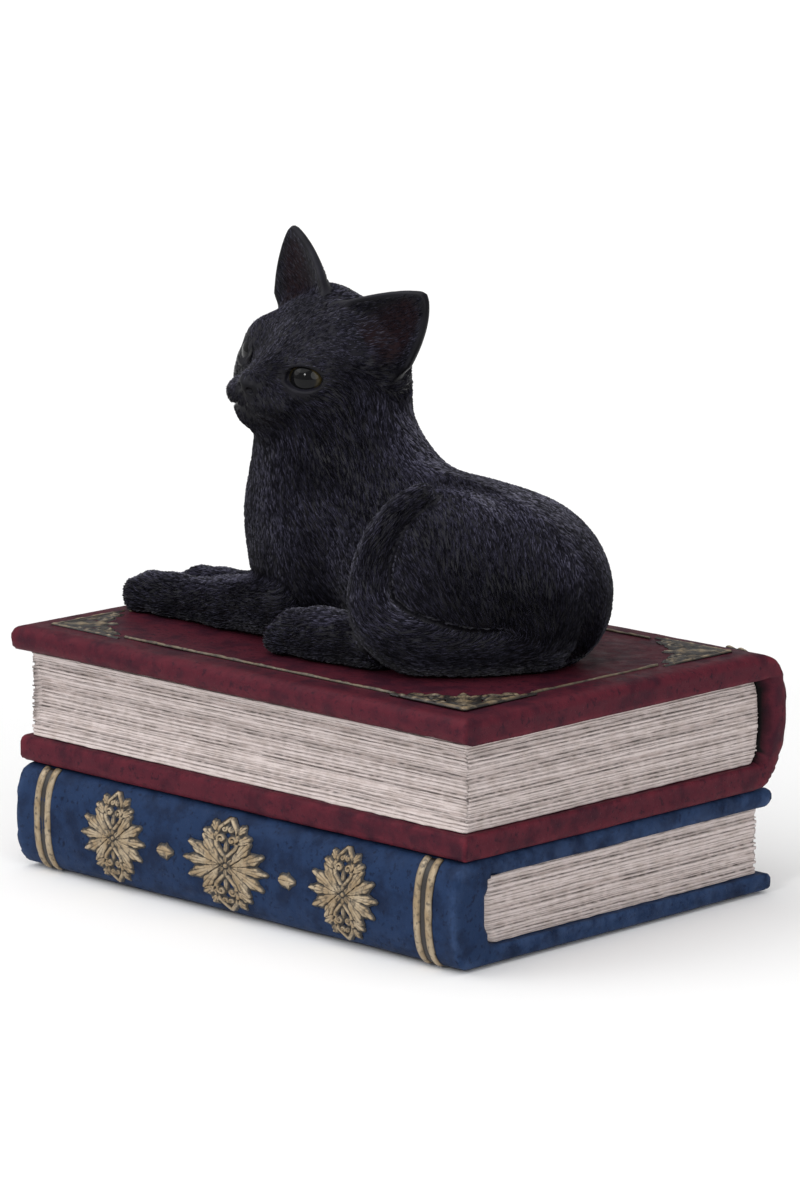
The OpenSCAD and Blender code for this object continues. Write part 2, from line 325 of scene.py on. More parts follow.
def maroon_paint():
    red, dark_red, worn_red = (0.068, 0.0115, 0.0205, 1), (0.018, 0.0065, 0.014, 1), (0.17, 0.022, 0.034, 1)
    return cover_paint("maroon_paint", red, dark_red, worn_red, 150, 0.62, 0.40, 0.62)


def navy_paint():
    blue, dark_blue = (0.0130, 0.029, 0.076, 1), (0.0045, 0.0075, 0.022, 1)
    worn_blue = (0.055, 0.095, 0.20, 1)
    return cover_paint("navy_paint", blue, dark_blue, worn_blue, 140, 0.60, 0.44, 0.66)


def page_paint():
    """Cream leaves with a brown wash run into the gaps between them."""
    paint = Paint("page_paint", 0.62)
    stain = paint.steps(paint.noise(420, 6), 0.42, 0.72)
    cream = paint.mix(stain, (0.56, 0.475, 0.45, 1), (0.38, 0.30, 0.26, 1))
    cream = paint.mix(paint.attribute("tone"), cream, (0.68, 0.61, 0.60, 1))
    wash = paint.sum("MULTIPLY", paint.attribute("groove"), paint.steps(paint.noise(620, 5), 0.37, 0.53))
    paint.put(paint.shader.inputs["Base Color"], paint.mix(wash, cream, (0.028, 0.017, 0.013, 1)))
    paint.bump(paint.noise(1400, 4), 0.00008, 0.5)
    return paint.material


def gilt_paint():
    """Antique gold rubbed over a black ground, so only the raised parts shine."""
    paint = Paint("gilt_paint", 0.42)
    rub = paint.sum("MULTIPLY", paint.attribute("crest"), paint.steps(paint.noise(900, 4), 0.28, 0.5))
    bright = paint.steps(paint.noise(300, 3), 0.4, 0.65)
    gold = paint.mix(bright, (0.31, 0.225, 0.13, 1), (0.43, 0.345, 0.235, 1))
    paint.put(paint.shader.inputs["Base Color"], paint.mix(rub, (0.014, 0.011, 0.010, 1), gold))
    paint.put(paint.shader.inputs["Metallic"], paint.sum("MULTIPLY", rub, 0.35))
    paint.bump(paint.noise(1600, 3), 0.00006, 0.6)
    return paint.material


def fur_paint():
    """Black fur, dry-brushed blue-grey in flecks and on crests and lighter on what faces up as a painted
    highlight from above, with the inner ears a dull red-brown.
    """
    paint = Paint("fur_paint", 0.40)
    # The light mask mixes real dry-brush flecks with a painted highlight on up-facing surfaces.
    base = paint.mix(paint.attribute("drybrush_and_top_light"), (0.0040, 0.0038, 0.0052, 1), (0.112, 0.108, 0.170, 1))
    base = paint.mix(paint.attribute("inner_ear"), base, (0.013, 0.0072, 0.0088, 1))
    paint.put(paint.shader.inputs["Base Color"], base)
    shine = paint.sum("ADD", paint.sum("MULTIPLY", paint.attribute("drybrush_and_top_light"), 0.55), 0.10)
    bare = paint.sum("SUBTRACT", 1.0, paint.sum("MULTIPLY", paint.attribute("inner_ear"), 0.8))
    paint.put(paint.shader.inputs["Specular IOR Level"], paint.sum("MULTIPLY", shine, bare))
    paint.bump(paint.noise(2600, 3), 0.00005, 0.5)
    return paint.material


def eye_gloss():
    """Glossy eye: black pupil, olive iris, black rim."""
    paint = Paint("eye_gloss", 0.06)
    fleck = paint.steps(paint.noise(900, 4), 0.35, 0.65)
    iris = paint.mix(fleck, (0.040, 0.030, 0.012, 1), (0.020, 0.016, 0.008, 1))
    eye = paint.mix(paint.attribute("iris"), (0.0035, 0.0035, 0.004, 1), iris)
    paint.put(paint.shader.inputs["Base Color"], eye)
    paint.shader.inputs["Specular IOR Level"].default_value = 0.18
    return paint.material


def felt_cloth():
    paint = Paint("felt_cloth", 0.95)
    fibre = paint.steps(paint.noise(2200, 5), 0.35, 0.7)
    nap = paint.mix(fibre, (0.010, 0.010, 0.012, 1), (0.045, 0.045, 0.05, 1))
    paint.put(paint.shader.inputs["Base Color"], nap)
    paint.shader.inputs["Sheen Weight"].default_value = 0.3
    paint.bump(paint.noise(2600, 4), 0.0002, 0.9)
    return paint.material


MAROON = maroon_paint()
NAVY = navy_paint()
PAGE = page_paint()
GILT = gilt_paint()
FUR = fur_paint()
EYE = eye_gloss()
FELT = felt_cloth()


# ---------------------------------------------------------------- modelling helpers

def clear_pick():
    if bpy.context.object and bpy.context.object.mode != "OBJECT":
        bpy.ops.object.mode_set(mode="OBJECT")
    bpy.ops.object.select_all(action="DESELECT")


def pick(*objects):
    clear_pick()
    for o in objects:
        o.select_set(True)
    bpy.context.view_layer.objects.active = objects[0]


def points(obj):
    co = np.empty(len(obj.data.vertices) * 3)
    obj.data.vertices.foreach_get("co", co)
    return co.reshape(-1, 3) / MM


def set_points(obj, co):
    obj.data.vertices.foreach_set("co", (np.asarray(co) * MM).ravel())
    obj.data.update()


def normals(obj):
    no = np.empty(len(obj.data.vertices) * 3, np.float32)
    obj.data.vertex_normals.foreach_get("vector", no)
    return no.reshape(-1, 3).astype(float)


def paint_mask(obj, name, values):
    """Stores one number a vertex, for a material to read."""
    made = obj.data.attributes.get(name) or obj.data.attributes.new(name, "FLOAT", "POINT")
    made.data.foreach_set("value", np.clip(np.asarray(values, np.float32), 0, 1))


def mesh_piece(name, co, faces):
    """A piece whose shape is worked out by formula, from points in millimetres."""
    mesh = bpy.data.meshes.new(name)
    loops = faces.tolist() if hasattr(faces, "tolist") else faces
    mesh.from_pydata((np.asarray(co) * MM).tolist(), [], loops)
    made = bpy.data.objects.new(name, mesh)
    bpy.context.scene.collection.objects.link(made)
    return made


def give(obj, body, material, nodes=()):
    """Last step of every piece: its paint, its CAD body, and the CAD nodes it stands for."""
    obj.data.materials.clear()
    obj.data.materials.append(material)
    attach(obj, body)
    if nodes:
        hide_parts(*nodes)
    return obj


def soft_noise(co, size, seed=0):
    """Smooth noise from about -1 to 1 over points in millimetres, with lumps about size across."""
    q = np.asarray(co) / size + seed * 17.31
    cell = np.floor(q).astype(np.int64)
    f = q - cell
    f = f * f * (3 - 2 * f)
    out = np.zeros(len(q))
    for corner in range(8):
        step = np.array([corner & 1, corner >> 1 & 1, corner >> 2 & 1])
        c = cell + step
        h = (c[:, 0] * 73856093) ^ (c[:, 1] * 19349663) ^ (c[:, 2] * 83492791) ^ (seed * 2654435)
        h = (h ^ (h >> 13)) * 1274126177
        value = ((h ^ (h >> 16)) & 0xFFFF) / 32767.5 - 1
        out += value * np.prod(np.where(step, f, 1 - f), axis=1)
    return out


def neighbour_mean(obj, values, rounds):
    """Each vertex's value averaged over the vertices it is joined to, so many times over."""
    edges = np.empty(len(obj.data.edges) * 2, np.int64)
    obj.data.edges.foreach_get("vertices", edges)
    edges = edges.reshape(-1, 2)
    values = np.asarray(values, float)
    count = np.bincount(edges.ravel(), minlength=len(values))
    if values.ndim > 1:
        count = count[:, None]
    for _ in range(rounds):
        total = np.zeros_like(values)
        np.add.at(total, edges[:, 0], values[edges[:, 1]])
        np.add.at(total, edges[:, 1], values[edges[:, 0]])
        values = total / np.maximum(count, 1)
    return values


def mark_edges(obj, gain=1.6):
    """Masks where the surface turns sharply: edge on its ridges, hollow in its creases, the hollow one for
    painted shade.
    """
    co = points(obj)
    bend = ((neighbour_mean(obj, co, 3) - co) * normals(obj)).sum(1)
    bend = neighbour_mean(obj, bend, 2)
    paint_mask(obj, "edge", -bend * gain)
    # Painted shade: the paint darkens creases by this mask.
    paint_mask(obj, "hollow", bend * gain)


def cast_copy(node, name, voxel, ripple):
    """A CAD node's shape as a casting: one skin with softened edges and a slight unevenness."""
    pick(frame["nodes"][node])
    bpy.ops.object.duplicate()
    made = bpy.context.object
    made.name = name
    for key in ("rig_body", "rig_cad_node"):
        del made[key]
    made.parent = None
    bpy.ops.object.mode_set(mode="EDIT")
    bpy.ops.mesh.select_all(action="SELECT")
    bpy.ops.mesh.remove_doubles(threshold=1e-6)
    bpy.ops.object.mode_set(mode="OBJECT")
    made.data.remesh_voxel_size = voxel * MM
    made.data.use_remesh_fix_poles = False
    bpy.ops.object.voxel_remesh()
    co, out = points(made), normals(made)
    lift = ripple * soft_noise(co, 22, 1)
    lift += 0.45 * ripple * soft_noise(co, 7, 2) + 0.2 * ripple * soft_noise(co, 2.6, 3)
    set_points(made, co + out * (lift - ripple * 0.6)[:, None])
    bpy.ops.object.shade_smooth()
    mark_edges(made)
    return made


# ---------------------------------------------------------------- books

def spine_depth(z, bottom, top, crown):
    """How far the rounded spine stands out at height z, measured from the foot of its curve."""
    half = (top - bottom) / 2
    rise = np.clip(np.abs(z - (top + bottom) / 2) / half, 0, 1) ** (1 / 0.85)
    return crown * np.sqrt(np.clip(1 - rise ** 2, 0, 1)) ** 0.75


BOOKS = {
    "upper": {"body": "lid", "side": 1, "z": (SEAM_Z, COVER_Z), "crown": UPPER_CROWN, "page_bulge": 3.3},
    "lower": {"body": "box", "side": -1, "z": (lower_lo[2], SEAM_Z), "crown": LOWER_CROWN, "page_bulge": 2.8},
}


def on_spine(book, x, z, lift):
    """Points standing lift proud of a book's spine."""
    bottom, top = BOOKS[book]["z"]
    crown = BOOKS[book]["crown"]
    y = SPINE_Y - crown + spine_depth(z, bottom, top, crown) + lift
    return np.stack([x, BOOKS[book]["side"] * y, z], -1)


def leaf_wall(name, book, lo, hi, leaves):
    """The three outer faces of a page block as ragged leaves, each with its own edge and gap."""
    side = BOOKS[book]["side"]
    fore = lo[1] if side > 0 else hi[1]
    hinge = hi[1] if side > 0 else lo[1]
    bulge = BOOKS[book]["page_bulge"]
    step = 0.8
    across = np.arange(lo[0], hi[0], step)
    along = np.arange(0, abs(hinge - fore), step)
    path = np.concatenate([
        np.stack([np.full(len(along), hi[0]), hinge - side * along, np.full(len(along), 1.0),
                  np.zeros(len(along))], 1),
        np.stack([across[::-1], np.full(len(across), fore), np.zeros(len(across)),
                  np.full(len(across), -side * 1.0)], 1),
        np.stack([np.full(len(along), lo[0]), fore + side * along, np.full(len(along), -1.0),
                  np.zeros(len(along))], 1)])
    run = np.arange(len(path)) * step
    tuck = np.ones(len(path))
    tuck[[0, -1]] = 0
    thick = 0.35 + np.random.default_rng(leaves).random(leaves) ** 1.4 * 1.5
    seams = lo[2] + np.concatenate([[0], np.cumsum(thick)]) / thick.sum() * (hi[2] - lo[2])
    gap = (hi[2] - lo[2]) / leaves
    fractions = (0.0, 0.09, 0.35, 0.65, 0.91)
    rows, grooves, tones = [], [], []

    def along_leaf(k, size, seed):
        return soft_noise(np.stack([run, np.full(len(run), k * 9.7), np.full(len(run), 3.0)], 1), size, seed)

    def seam_height(k):
        if k in (0, leaves):
            return np.full(len(run), seams[k])
        return seams[k] + gap * (0.22 * along_leaf(k // 3, 22, 4) + 0.10 * along_leaf(k, 9, 15)
                                 + 0.07 * along_leaf(k, 2.5, 14))

    for k in range(leaves):
        low, high = seam_height(k), seam_height(k + 1)
        edge = 0.55 + 0.22 * along_leaf(k, 11, 5) + 0.20 * along_leaf(k, 3, 6) + 0.32 * math.sin(k * 78.2)
        deep = np.clip(0.85 + 1.1 * along_leaf(k, 10, 7) + 0.7 * along_leaf(k, 2.2, 8), 0.0, 1)
        deep *= 0.55 + 0.45 * math.sin(k * 12.9) ** 2
        for f in fractions:
            z = low + (high - low) * f
            fray = 0.12 * along_leaf(k + f, 1.2, 9)
            if f == 0:
                depth = edge * (1 - deep * 0.97) - 0.10 * deep
            else:
                depth = edge * (0.85 if f == 0.09 else 1) + fray
            t = (z - lo[2]) / (hi[2] - lo[2]) * 2 - 1
            shift = (np.maximum(depth, -0.05) + 0.18) * tuck - 0.1
            back = bulge * (1 - np.clip(1 - np.abs(t) ** (2 / 0.85), 0, 1) ** 0.375)
            cup = 2.6 * (1 - t * t) * np.abs(path[:, 3])
            y = fore + (path[:, 1] - fore) * (1 - back / abs(hinge - fore)) + path[:, 3] * shift + side * cup
            rows.append(np.stack([path[:, 0] + path[:, 2] * shift, y, z], 1))
            grooves.append(deep * (1.0 if f == 0 else 0.34 if f in (0.09, 0.91) else 0.02))
            tones.append(np.full(len(run), 0.5 + 0.5 * math.sin(k * 37.7)) * 0.8 * (0.4 if f == 0 else 1))
    rows, n, m = np.stack(rows), len(rows), len(path)
    index = np.arange(n * m).reshape(n, m)
    faces = np.stack([index[:-1, :-1], index[1:, :-1], index[1:, 1:], index[:-1, 1:]], -1).reshape(-1, 4)
    if side < 0:
        faces = faces[:, ::-1]
    made = mesh_piece(name, rows.reshape(-1, 3), faces)
    paint_mask(made, "groove", np.concatenate(grooves))
    paint_mask(made, "tone", np.concatenate(tones))
    pick(made)
    bpy.ops.object.shade_smooth()
    return give(made, BOOKS[book]["body"], PAGE)


def cut_joint(obj, book, lo, hi):
    """Sinks the gutter between a page block's rounded back and its spine, at both ends, and paints it near
    black as painted shade.
    """
    co = points(obj)
    side = BOOKS[book]["side"]
    t = (co[:, 2] - lo[2]) / (hi[2] - lo[2]) * 2 - 1
    back = BOOKS[book]["page_bulge"] * (1 - np.clip(1 - np.abs(t) ** (2 / 0.85), 0, 1) ** 0.375)
    past = side * co[:, 1] - ((hi[1] if side > 0 else -lo[1]) - back)
    end = np.clip((np.abs(co[:, 0]) - hi[0] + 3) / 2, 0, 1)
    gutter = end * np.clip((past + 0.8) / 0.6, 0, 1) * np.clip((GUTTER_WIDE - past) / 0.6, 0, 1)
    gutter = gutter * (np.abs(t) < 0.97)
    if book == "upper":
        board_end = np.abs(co[:, 0]).max()
        spine_end = board_end - BOARD_OVER
        flare = np.clip((side * co[:, 1] - hi[1]) / 2, 0, 1) * np.clip((co[:, 2] - lo[2]) / 8, 0, 1)
        flare *= np.clip((np.abs(co[:, 0]) - spine_end + 2) / 2, 0, 1)
        co[:, 0] += np.sign(co[:, 0]) * (board_end - np.abs(co[:, 0])) * flare
    co[:, 0] -= np.sign(co[:, 0]) * GUTTER_DEEP * gutter
    set_points(obj, co)
    hollow = np.empty(len(co), np.float32)
    obj.data.attributes["hollow"].data.foreach_get("value", hollow)
    # Painted shade: the gutter goes into the crease mask and is painted near black.
    paint_mask(obj, "hollow", np.maximum(hollow, gutter * 1.6))


def make_books():
    red = cast_copy("upper_binding", "maroon_binding", 1.0, 0.16)
    cut_joint(red, "upper", upper_pages_lo, upper_pages_hi)
    give(red, "lid", MAROON, ["upper_binding"])
    blue = cast_copy("lower_binding", "navy_binding", 1.0, 0.13)
    cut_joint(blue, "lower", lower_pages_lo, lower_pages_hi)
    give(blue, "box", NAVY, ["lower_binding"])
    for node in ("upper_pages", "lower_pages"):
        block = frame["nodes"][node]
        block.data.materials.clear()
        block.data.materials.append(PAGE)
    leaf_wall("upper_leaves", "upper", upper_pages_lo, upper_pages_hi, 41)
    leaf_wall("lower_leaves", "lower", lower_pages_lo, lower_pages_hi, 30)


# ---------------------------------------------------------------- gilt ornament

def leaf_shape(along, across, length, width):
    """Height of one leaf from its foot: round at the foot, drawn to a point, with a vein."""
    t = np.clip(along / length, 0, 1)
    half = width * np.sin(np.pi * t ** 0.75) ** 0.8 * (1 - 0.25 * t) + 1e-6
    body = np.clip(1 - (across / half) ** 2, 0, 1) ** 0.5
    vein = 1 - 0.5 * np.exp(-(across / 0.16) ** 2)
    return np.where((along > 0) & (along < length), body * vein, 0)


def turned(u, v, angle):
    return u * math.cos(angle) + v * math.sin(angle), -u * math.sin(angle) + v * math.cos(angle)


def button(u, v, radius):
    return np.clip(1 - (u * u + v * v) / radius ** 2, 0, 1) ** 0.5


def curl(u, v, centre, radius, start, turns, width):
    """A spiral scroll that tightens from radius to its eye."""
    h = np.zeros_like(u)
    for t in np.linspace(0, 1, int(46 * turns)):
        r = radius * (1 - 0.82 * t)
        angle = start + t * turns * 2 * math.pi
        w = width * (1 - 0.45 * t)
        d2 = (u - centre[0] - r * math.cos(angle)) ** 2 + (v - centre[1] - r * math.sin(angle)) ** 2
        h = np.maximum(h, np.clip(1 - d2 / w ** 2, 0, 1) ** 0.5)
    return np.maximum(h, button(u - centre[0], v - centre[1], radius * 0.3))


def stroke_line(u, v, way, width):
    """A round-topped line through the points of way."""
    h = np.zeros_like(u)
    for (x0, y0), (x1, y1) in zip(way[:-1], way[1:]):
        dx, dy = x1 - x0, y1 - y0
        t = np.clip(((u - x0) * dx + (v - y0) * dy) / (dx * dx + dy * dy), 0, 1)
        d2 = (u - x0 - t * dx) ** 2 + (v - y0 - t * dy) ** 2
        h = np.maximum(h, np.clip(1 - d2 / width ** 2, 0, 1) ** 0.5)
    return h


def ribbed_leaf(u, v, foot, angle, length, width):
    """A palm leaf with lobes cut in its edge, ribbed down its length and drawn to a point."""
    a, c = turned(u - foot[0], v - foot[1], angle)
    t = np.clip(a / length, 0, 1)
    lobes = 1 + 0.26 * np.sin(t * 19 + 1.0) * t
    half = width * (0.10 + 1.45 * t) * np.clip(1 - t ** 3.2, 0, 1) * lobes + 1e-6
    body = np.clip(1 - (np.abs(c) / half) ** 4, 0, 1) ** 0.5
    ribs = 1 - 0.75 * t * np.exp(-((np.abs(c) - width * 0.42 * t) / 0.12) ** 2)
    return np.where((a > 0) & (a < length), body * ribs, 0)


def lapped(parts):
    """The parts of an ornament together, with a dark cut where one meets the next."""
    ranked = np.sort(np.stack(parts), axis=0)
    return ranked[-1] * np.clip((ranked[-1] - ranked[-2] - 0.05) / 0.5, 0, 1)


def rosette_height(u, v, wide, tall):
    """Damask rosette: a fan of palm leaves each side and a scrolled lobe above and below."""
    s, t = np.abs(u) * 21 / wide, np.abs(v) * 21.6 / tall
    parts = [0.9 * button(s, t, 0.6)]
    for angle, length, width in ((0, 9.2, 1.25), (26, 9.0, 1.5), (53, 7.8, 1.45)):
        parts.append(ribbed_leaf(s, t, (1.0, 0.0), math.radians(angle), length, width))
    parts.append(0.95 * ribbed_leaf(s, t, (2.3, 5.4), math.radians(28), 3.9, 1.25))
    parts.append(0.95 * ribbed_leaf(s, t, (2.2, 7.2), math.radians(52), 2.8, 1.0))
    lobe = stroke_line(s, t, [(0.6, 2.4), (2.3, 4.3), (2.8, 6.2), (2.1, 8.3), (0.9, 9.6), (0, 10.6)], 0.42)
    lobe = np.maximum(lobe, 0.95 * curl(s, t, (1.35, 5.9), 1.0, -0.6, 1.2, 0.33))
    lobe = np.maximum(lobe, 0.9 * curl(s, t, (0.85, 8.2), 0.62, 2.4, 1.1, 0.26))
    lobe = np.maximum(lobe, leaf_shape(t - 3.0, s, 3.0, 0.5))
    parts.append(lobe)
    for angle in (45, 90):
        a, c = turned(s, t, math.radians(angle))
        parts.append(leaf_shape(a - 0.7, c, 2.2, 0.45))
    return lapped(parts)


def spread_out(height, cells):
    """The ground an ornament stands on: its outline filled in and grown by some grid cells."""
    ground = height > 0.04
    for _ in range(cells):
        grown = ground.copy()
        grown[1:] |= ground[:-1]
        grown[:-1] |= ground[1:]
        grown[:, 1:] |= ground[:, :-1]
        grown[:, :-1] |= ground[:, 1:]
        ground = grown
    return ground


def corner_height(u, v):
    """Filigree corner with its tip at the origin: a raised border, a palmette and scrolls down each leg."""
    leg = 22.0
    h = np.zeros_like(u)
    for a, b in ((u, v), (v, u)):
        inside = (a > 0) & (a < leg)
        taper = np.clip((leg - a) / 5, 0.35, 1)
        h = np.maximum(h, np.where(inside, np.clip(1 - ((b - 0.55) / (0.55 * taper)) ** 2, 0, 1) ** 0.5, 0))
        bead = np.clip(1 - ((b - 1.75) / 0.35) ** 2, 0, 1) ** 0.5
        h = np.maximum(h, 0.8 * np.where(inside & (a < 17), bead, 0))
        h = np.maximum(h, curl(a, b, (12.6, 4.1), 2.3, -1.2, 1.35, 0.55))
        h = np.maximum(h, 0.95 * curl(a, b, (16.6, 2.9), 1.5, -0.8, 1.2, 0.45))
        for foot, angle, length, width in (((5.0, 2.6), 0.55, 5.2, 1.1), ((9.0, 2.2), 0.35, 4.8, 0.9),
                                           ((13.6, 2.0), 0.25, 5.6, 0.8), ((6.4, 5.2), 0.30, 6.0, 1.1)):
            s, t = turned(a - foot[0], b - foot[1], angle)
            h = np.maximum(h, 0.95 * leaf_shape(s, t, length, width))
    for angle, length, width in ((45, 12.0, 1.7), (27, 9.0, 1.3), (63, 9.0, 1.3)):
        h = np.maximum(h, ribbed_leaf(u, v, (2.2, 2.2), math.radians(angle), length, width))
    h = np.maximum(h, button(u - 3.0, v - 3.0, 1.0))
    flat = np.stack([u.ravel(), v.ravel(), np.zeros(u.size)], 1)
    return h * (0.56 + 0.26 * soft_noise(flat, 1.2, 40).reshape(u.shape))


def relief_sheet(name, u, v, height, place):
    """A raised ornament cut to its own outline: a grid lifted by height where there is any, closed below."""
    height = np.where(spread_out(height, 2), np.maximum(height, 0.06), height)
    index = np.arange(u.size).reshape(u.shape)
    tall = np.maximum.reduce([height[:-1, :-1], height[1:, :-1], height[1:, 1:], height[:-1, 1:]])
    keep = tall > 0.04
    quads = np.stack([index[:-1, :-1], index[1:, :-1], index[1:, 1:], index[:-1, 1:]], -1)[keep]
    used, back = np.unique(quads.ravel(), return_inverse=True)
    flat_h = height.ravel()[used]
    top = place(u.ravel()[used], v.ravel()[used], RELIEF * (0.12 + 0.88 * flat_h))
    made = mesh_piece(name, top, back.reshape(-1, 4))
    paint_mask(made, "crest", np.clip(flat_h * 3.2 - 1.3, 0, 1))
    pick(made)
    wall = made.modifiers.new("wall", "SOLIDIFY")
    wall.thickness = 0.45 * MM
    wall.offset = -1
    bpy.ops.object.modifier_apply(modifier="wall")
    bpy.ops.object.mode_set(mode="EDIT")
    bpy.ops.mesh.select_all(action="SELECT")
    bpy.ops.mesh.normals_make_consistent(inside=False)
    bpy.ops.object.mode_set(mode="OBJECT")
    bpy.ops.object.shade_smooth()
    return made


def grid(u0, u1, v0, v1, step):
    u = np.arange(u0, u1 + step / 2, step)
    v = np.arange(v0, v1 + step / 2, step)
    return np.meshgrid(u, v, indexing="ij")


def make_medallion(name, book, node):
    lo, hi = mm_box(node)
    middle_x, middle_z = (lo[0] + hi[0]) / 2, (lo[2] + hi[2]) / 2
    wide, tall = hi[0] - lo[0], hi[2] - lo[2]
    u, v = grid(-wide / 2, wide / 2, -tall / 2, tall / 2, 0.15)
    if wide > 8:
        height = rosette_height(u, v, wide, tall)
    else:
        cross_leaf = 0.9 * leaf_shape(v + 1.7, u - 0.3, 3.4, 0.8)
        height = np.maximum(leaf_shape(u + wide / 2, v, wide, 1.5), cross_leaf)
    made = relief_sheet(name, u, v, height,
                        lambda a, b, h: on_spine(book, middle_x + a, middle_z + b, h - 0.02))
    return give(made, BOOKS[book]["body"], GILT, [node])


def make_corner(name, node, x_side, y_side):
    lo, hi = mm_box(node)
    tip_x = hi[0] if x_side > 0 else lo[0]
    tip_y = hi[1] if y_side > 0 else lo[1]
    u, v = grid(0, hi[0] - lo[0], 0, hi[1] - lo[1], 0.2)
    made = relief_sheet(name, u, v, corner_height(u, v), lambda a, b, h: np.stack(
        [tip_x - x_side * a, tip_y - y_side * b, COVER_Z + h - 0.1], -1))
    return give(made, "lid", GILT, [node])


def ridge(name, path, out, side, width, body, nodes, seed, wobble=1.0, gilded=1.0):
    """A hand-laid raised line: a low half-round that swells and thins along its path."""
    path, out, side = (np.asarray(a, float) for a in (path, out, side))
    n = len(path)
    own = path + seed * 31.0
    swell = 1 + wobble * (0.26 * soft_noise(own, 3, seed) + 0.18 * soft_noise(own, 1.2, seed + 1))
    angles = np.linspace(0, math.pi, 7)
    rows, crest = [], []
    for a in angles:
        offset = math.cos(a) * width / 2 * swell
        lift = math.sin(a) * RELIEF * 0.8 * swell - 0.12
        rows.append(path + side * offset[:, None] + out * lift[:, None])
        worn = 0.85 + wobble * 0.5 * soft_noise(own, 1.6, seed + 2)
        crest.append(math.sin(a) * 1.25 * worn * gilded)
    rows = np.stack(rows)
    index = np.arange(rows.shape[0] * n).reshape(rows.shape[0], n)
    loops = np.vstack([index, index[:1]])
    quads = np.stack([loops[:-1, :-1], loops[1:, :-1], loops[1:, 1:], loops[:-1, 1:]], -1)
    faces = quads.reshape(-1, 4).tolist() + [index[:, 0].tolist(), index[::-1, -1].tolist()]
    made = mesh_piece(name, rows.reshape(-1, 3), faces)
    paint_mask(made, "crest", np.clip(np.concatenate(crest), 0, 1))
    pick(made)
    bpy.ops.object.mode_set(mode="EDIT")
    bpy.ops.mesh.select_all(action="SELECT")
    bpy.ops.mesh.normals_make_consistent(inside=False)
    bpy.ops.object.mode_set(mode="OBJECT")
    bpy.ops.object.shade_smooth()
    return give(made, body, GILT, nodes)


def make_bands(book, node):
    """The pair of raised bands at one end of a spine."""
    lo, hi = mm_box(node)
    band = 2.2
    runs = (("outer", lo[0] + band / 2, band * 0.96), ("inner", hi[0] - band / 2, band * 0.96),
            ("ground", (lo[0] + hi[0]) / 2, hi[0] - lo[0] + 0.8))
    for label, x, width in runs:
        z = np.linspace(lo[2] - 0.2, hi[2] + 0.2, 60)
        path = on_spine(book, np.full(60, x), z, 0.0)
        run = np.gradient(path, axis=0)
        run /= np.linalg.norm(run, axis=1)[:, None]
        side = np.tile([1.0, 0, 0], (60, 1))
        out = np.cross(run, side)
        out *= np.sign(out[:, 1] * BOOKS[book]["side"] + 1e-9)[:, None]
        flat = label == "ground"
        ridge(f"{node}_{label}", path - out * (0.42 if flat else 0), out, side, width, BOOKS[book]["body"],
              [node], int(abs(x)) % 7 + 1, 0.25, 0 if flat else 1)


def make_cover_line():
    lo, hi = mm_box("cover_line")
    reach_x = mm_box("corner_fore_right")[0][0] - 0.5
    reach_y0 = mm_box("corner_fore_right")[1][1] + 0.5
    reach_y1 = mm_box("corner_spine_right")[0][1] - 0.5
    half = 0.45
    runs = [((-reach_x, y), (reach_x, y)) for y in (lo[1] + half, hi[1] - half)]
    runs += [((x, reach_y0), (x, reach_y1)) for x in (lo[0] + half, hi[0] - half)]
    for i, (a, b) in enumerate(runs):
        length = math.dist(a, b)
        n = int(length / 0.5)
        t = np.linspace(0, 1, n)[:, None]
        path = np.hstack([np.array(a) * (1 - t) + np.array(b) * t, np.full((n, 1), COVER_Z)])
        along = (np.array(b) - np.array(a)) / length
        side = np.tile([-along[1], along[0], 0], (n, 1))
        out = np.tile([0, 0, 1.0], (n, 1))
        ridge(f"cover_line_{i}", path, out, side, 0.8, "lid", ["cover_line"], i + 11, 1.0, 0.40)


def make_gilt():
    for place in ("left", "centre", "right"):
        make_medallion(f"rosette_{place}", "lower", f"medallion_{place}")
        make_medallion(f"lid_rosette_{place}", "upper", f"lid_medallion_{place}")
    for place in ("left", "right"):
        make_medallion(f"quatrefoil_{place}", "lower", f"floret_{place}")
        make_medallion(f"lid_quatrefoil_{place}", "upper", f"lid_floret_{place}")
        make_bands("lower", f"lower_bands_{place}")
        make_bands("upper", f"upper_bands_{place}")
    for edge, y_side in (("fore", -1), ("spine", 1)):
        for place, x_side in (("left", -1), ("right", 1)):
            make_corner(f"filigree_{edge}_{place}", f"corner_{edge}_{place}", x_side, y_side)
    make_cover_line()


# ---------------------------------------------------------------- felt

def make_felt():
    for node, name in (("compartment_floor_felt", "floor_felt"), ("compartment_wall_felt", "wall_felt")):
        cloth = cast_copy(node, name, 0.5 if node.startswith("compartment_wall") else 0.7, 0.08)
        give(cloth, "box", FELT, [node])
    feet = cast_copy("felt_feet", "foot_pads", 0.4, 0.03)
    give(feet, "box", FELT, ["felt_feet"])


# ---------------------------------------------------------------- the kitten's shape, in millimetres

def turn_matrix(axis, degrees):
    a = math.radians(degrees)
    m = np.eye(3)
    i, j = [(1, 2), (2, 0), (0, 1)][axis]
    m[i, i] = m[j, j] = math.cos(a)
    m[i, j], m[j, i] = -math.sin(a), math.sin(a)
    return m


HEAD_TURN = turn_matrix(2, -3) @ turn_matrix(1, 14) @ turn_matrix(0, -5)
EYE_SEAT = np.array([8.0, -11.6, 0.1])
EYE_R = (mm_box("eye_left")[1] - mm_box("eye_left")[0])[2] / 2
EYE_MID = {side: sum(mm_box(node)) / 2 for side, node in ((1, "eye_left"), (-1, "eye_right"))}
HEAD_AT = (EYE_MID[1] + EYE_MID[-1]) / 2 - HEAD_TURN @ (EYE_SEAT * [0, 1, 1])


def blend(a, b, k):
    """Union of two distances with a fillet about k wide."""
    h = np.clip(0.5 + 0.5 * (b - a) / k, 0, 1)
    return b * (1 - h) + a * h - k * h * (1 - h)


def carve(a, b, k):
    """a with b cut out of it, with a rounded lip."""
    return -blend(-a, b, k)


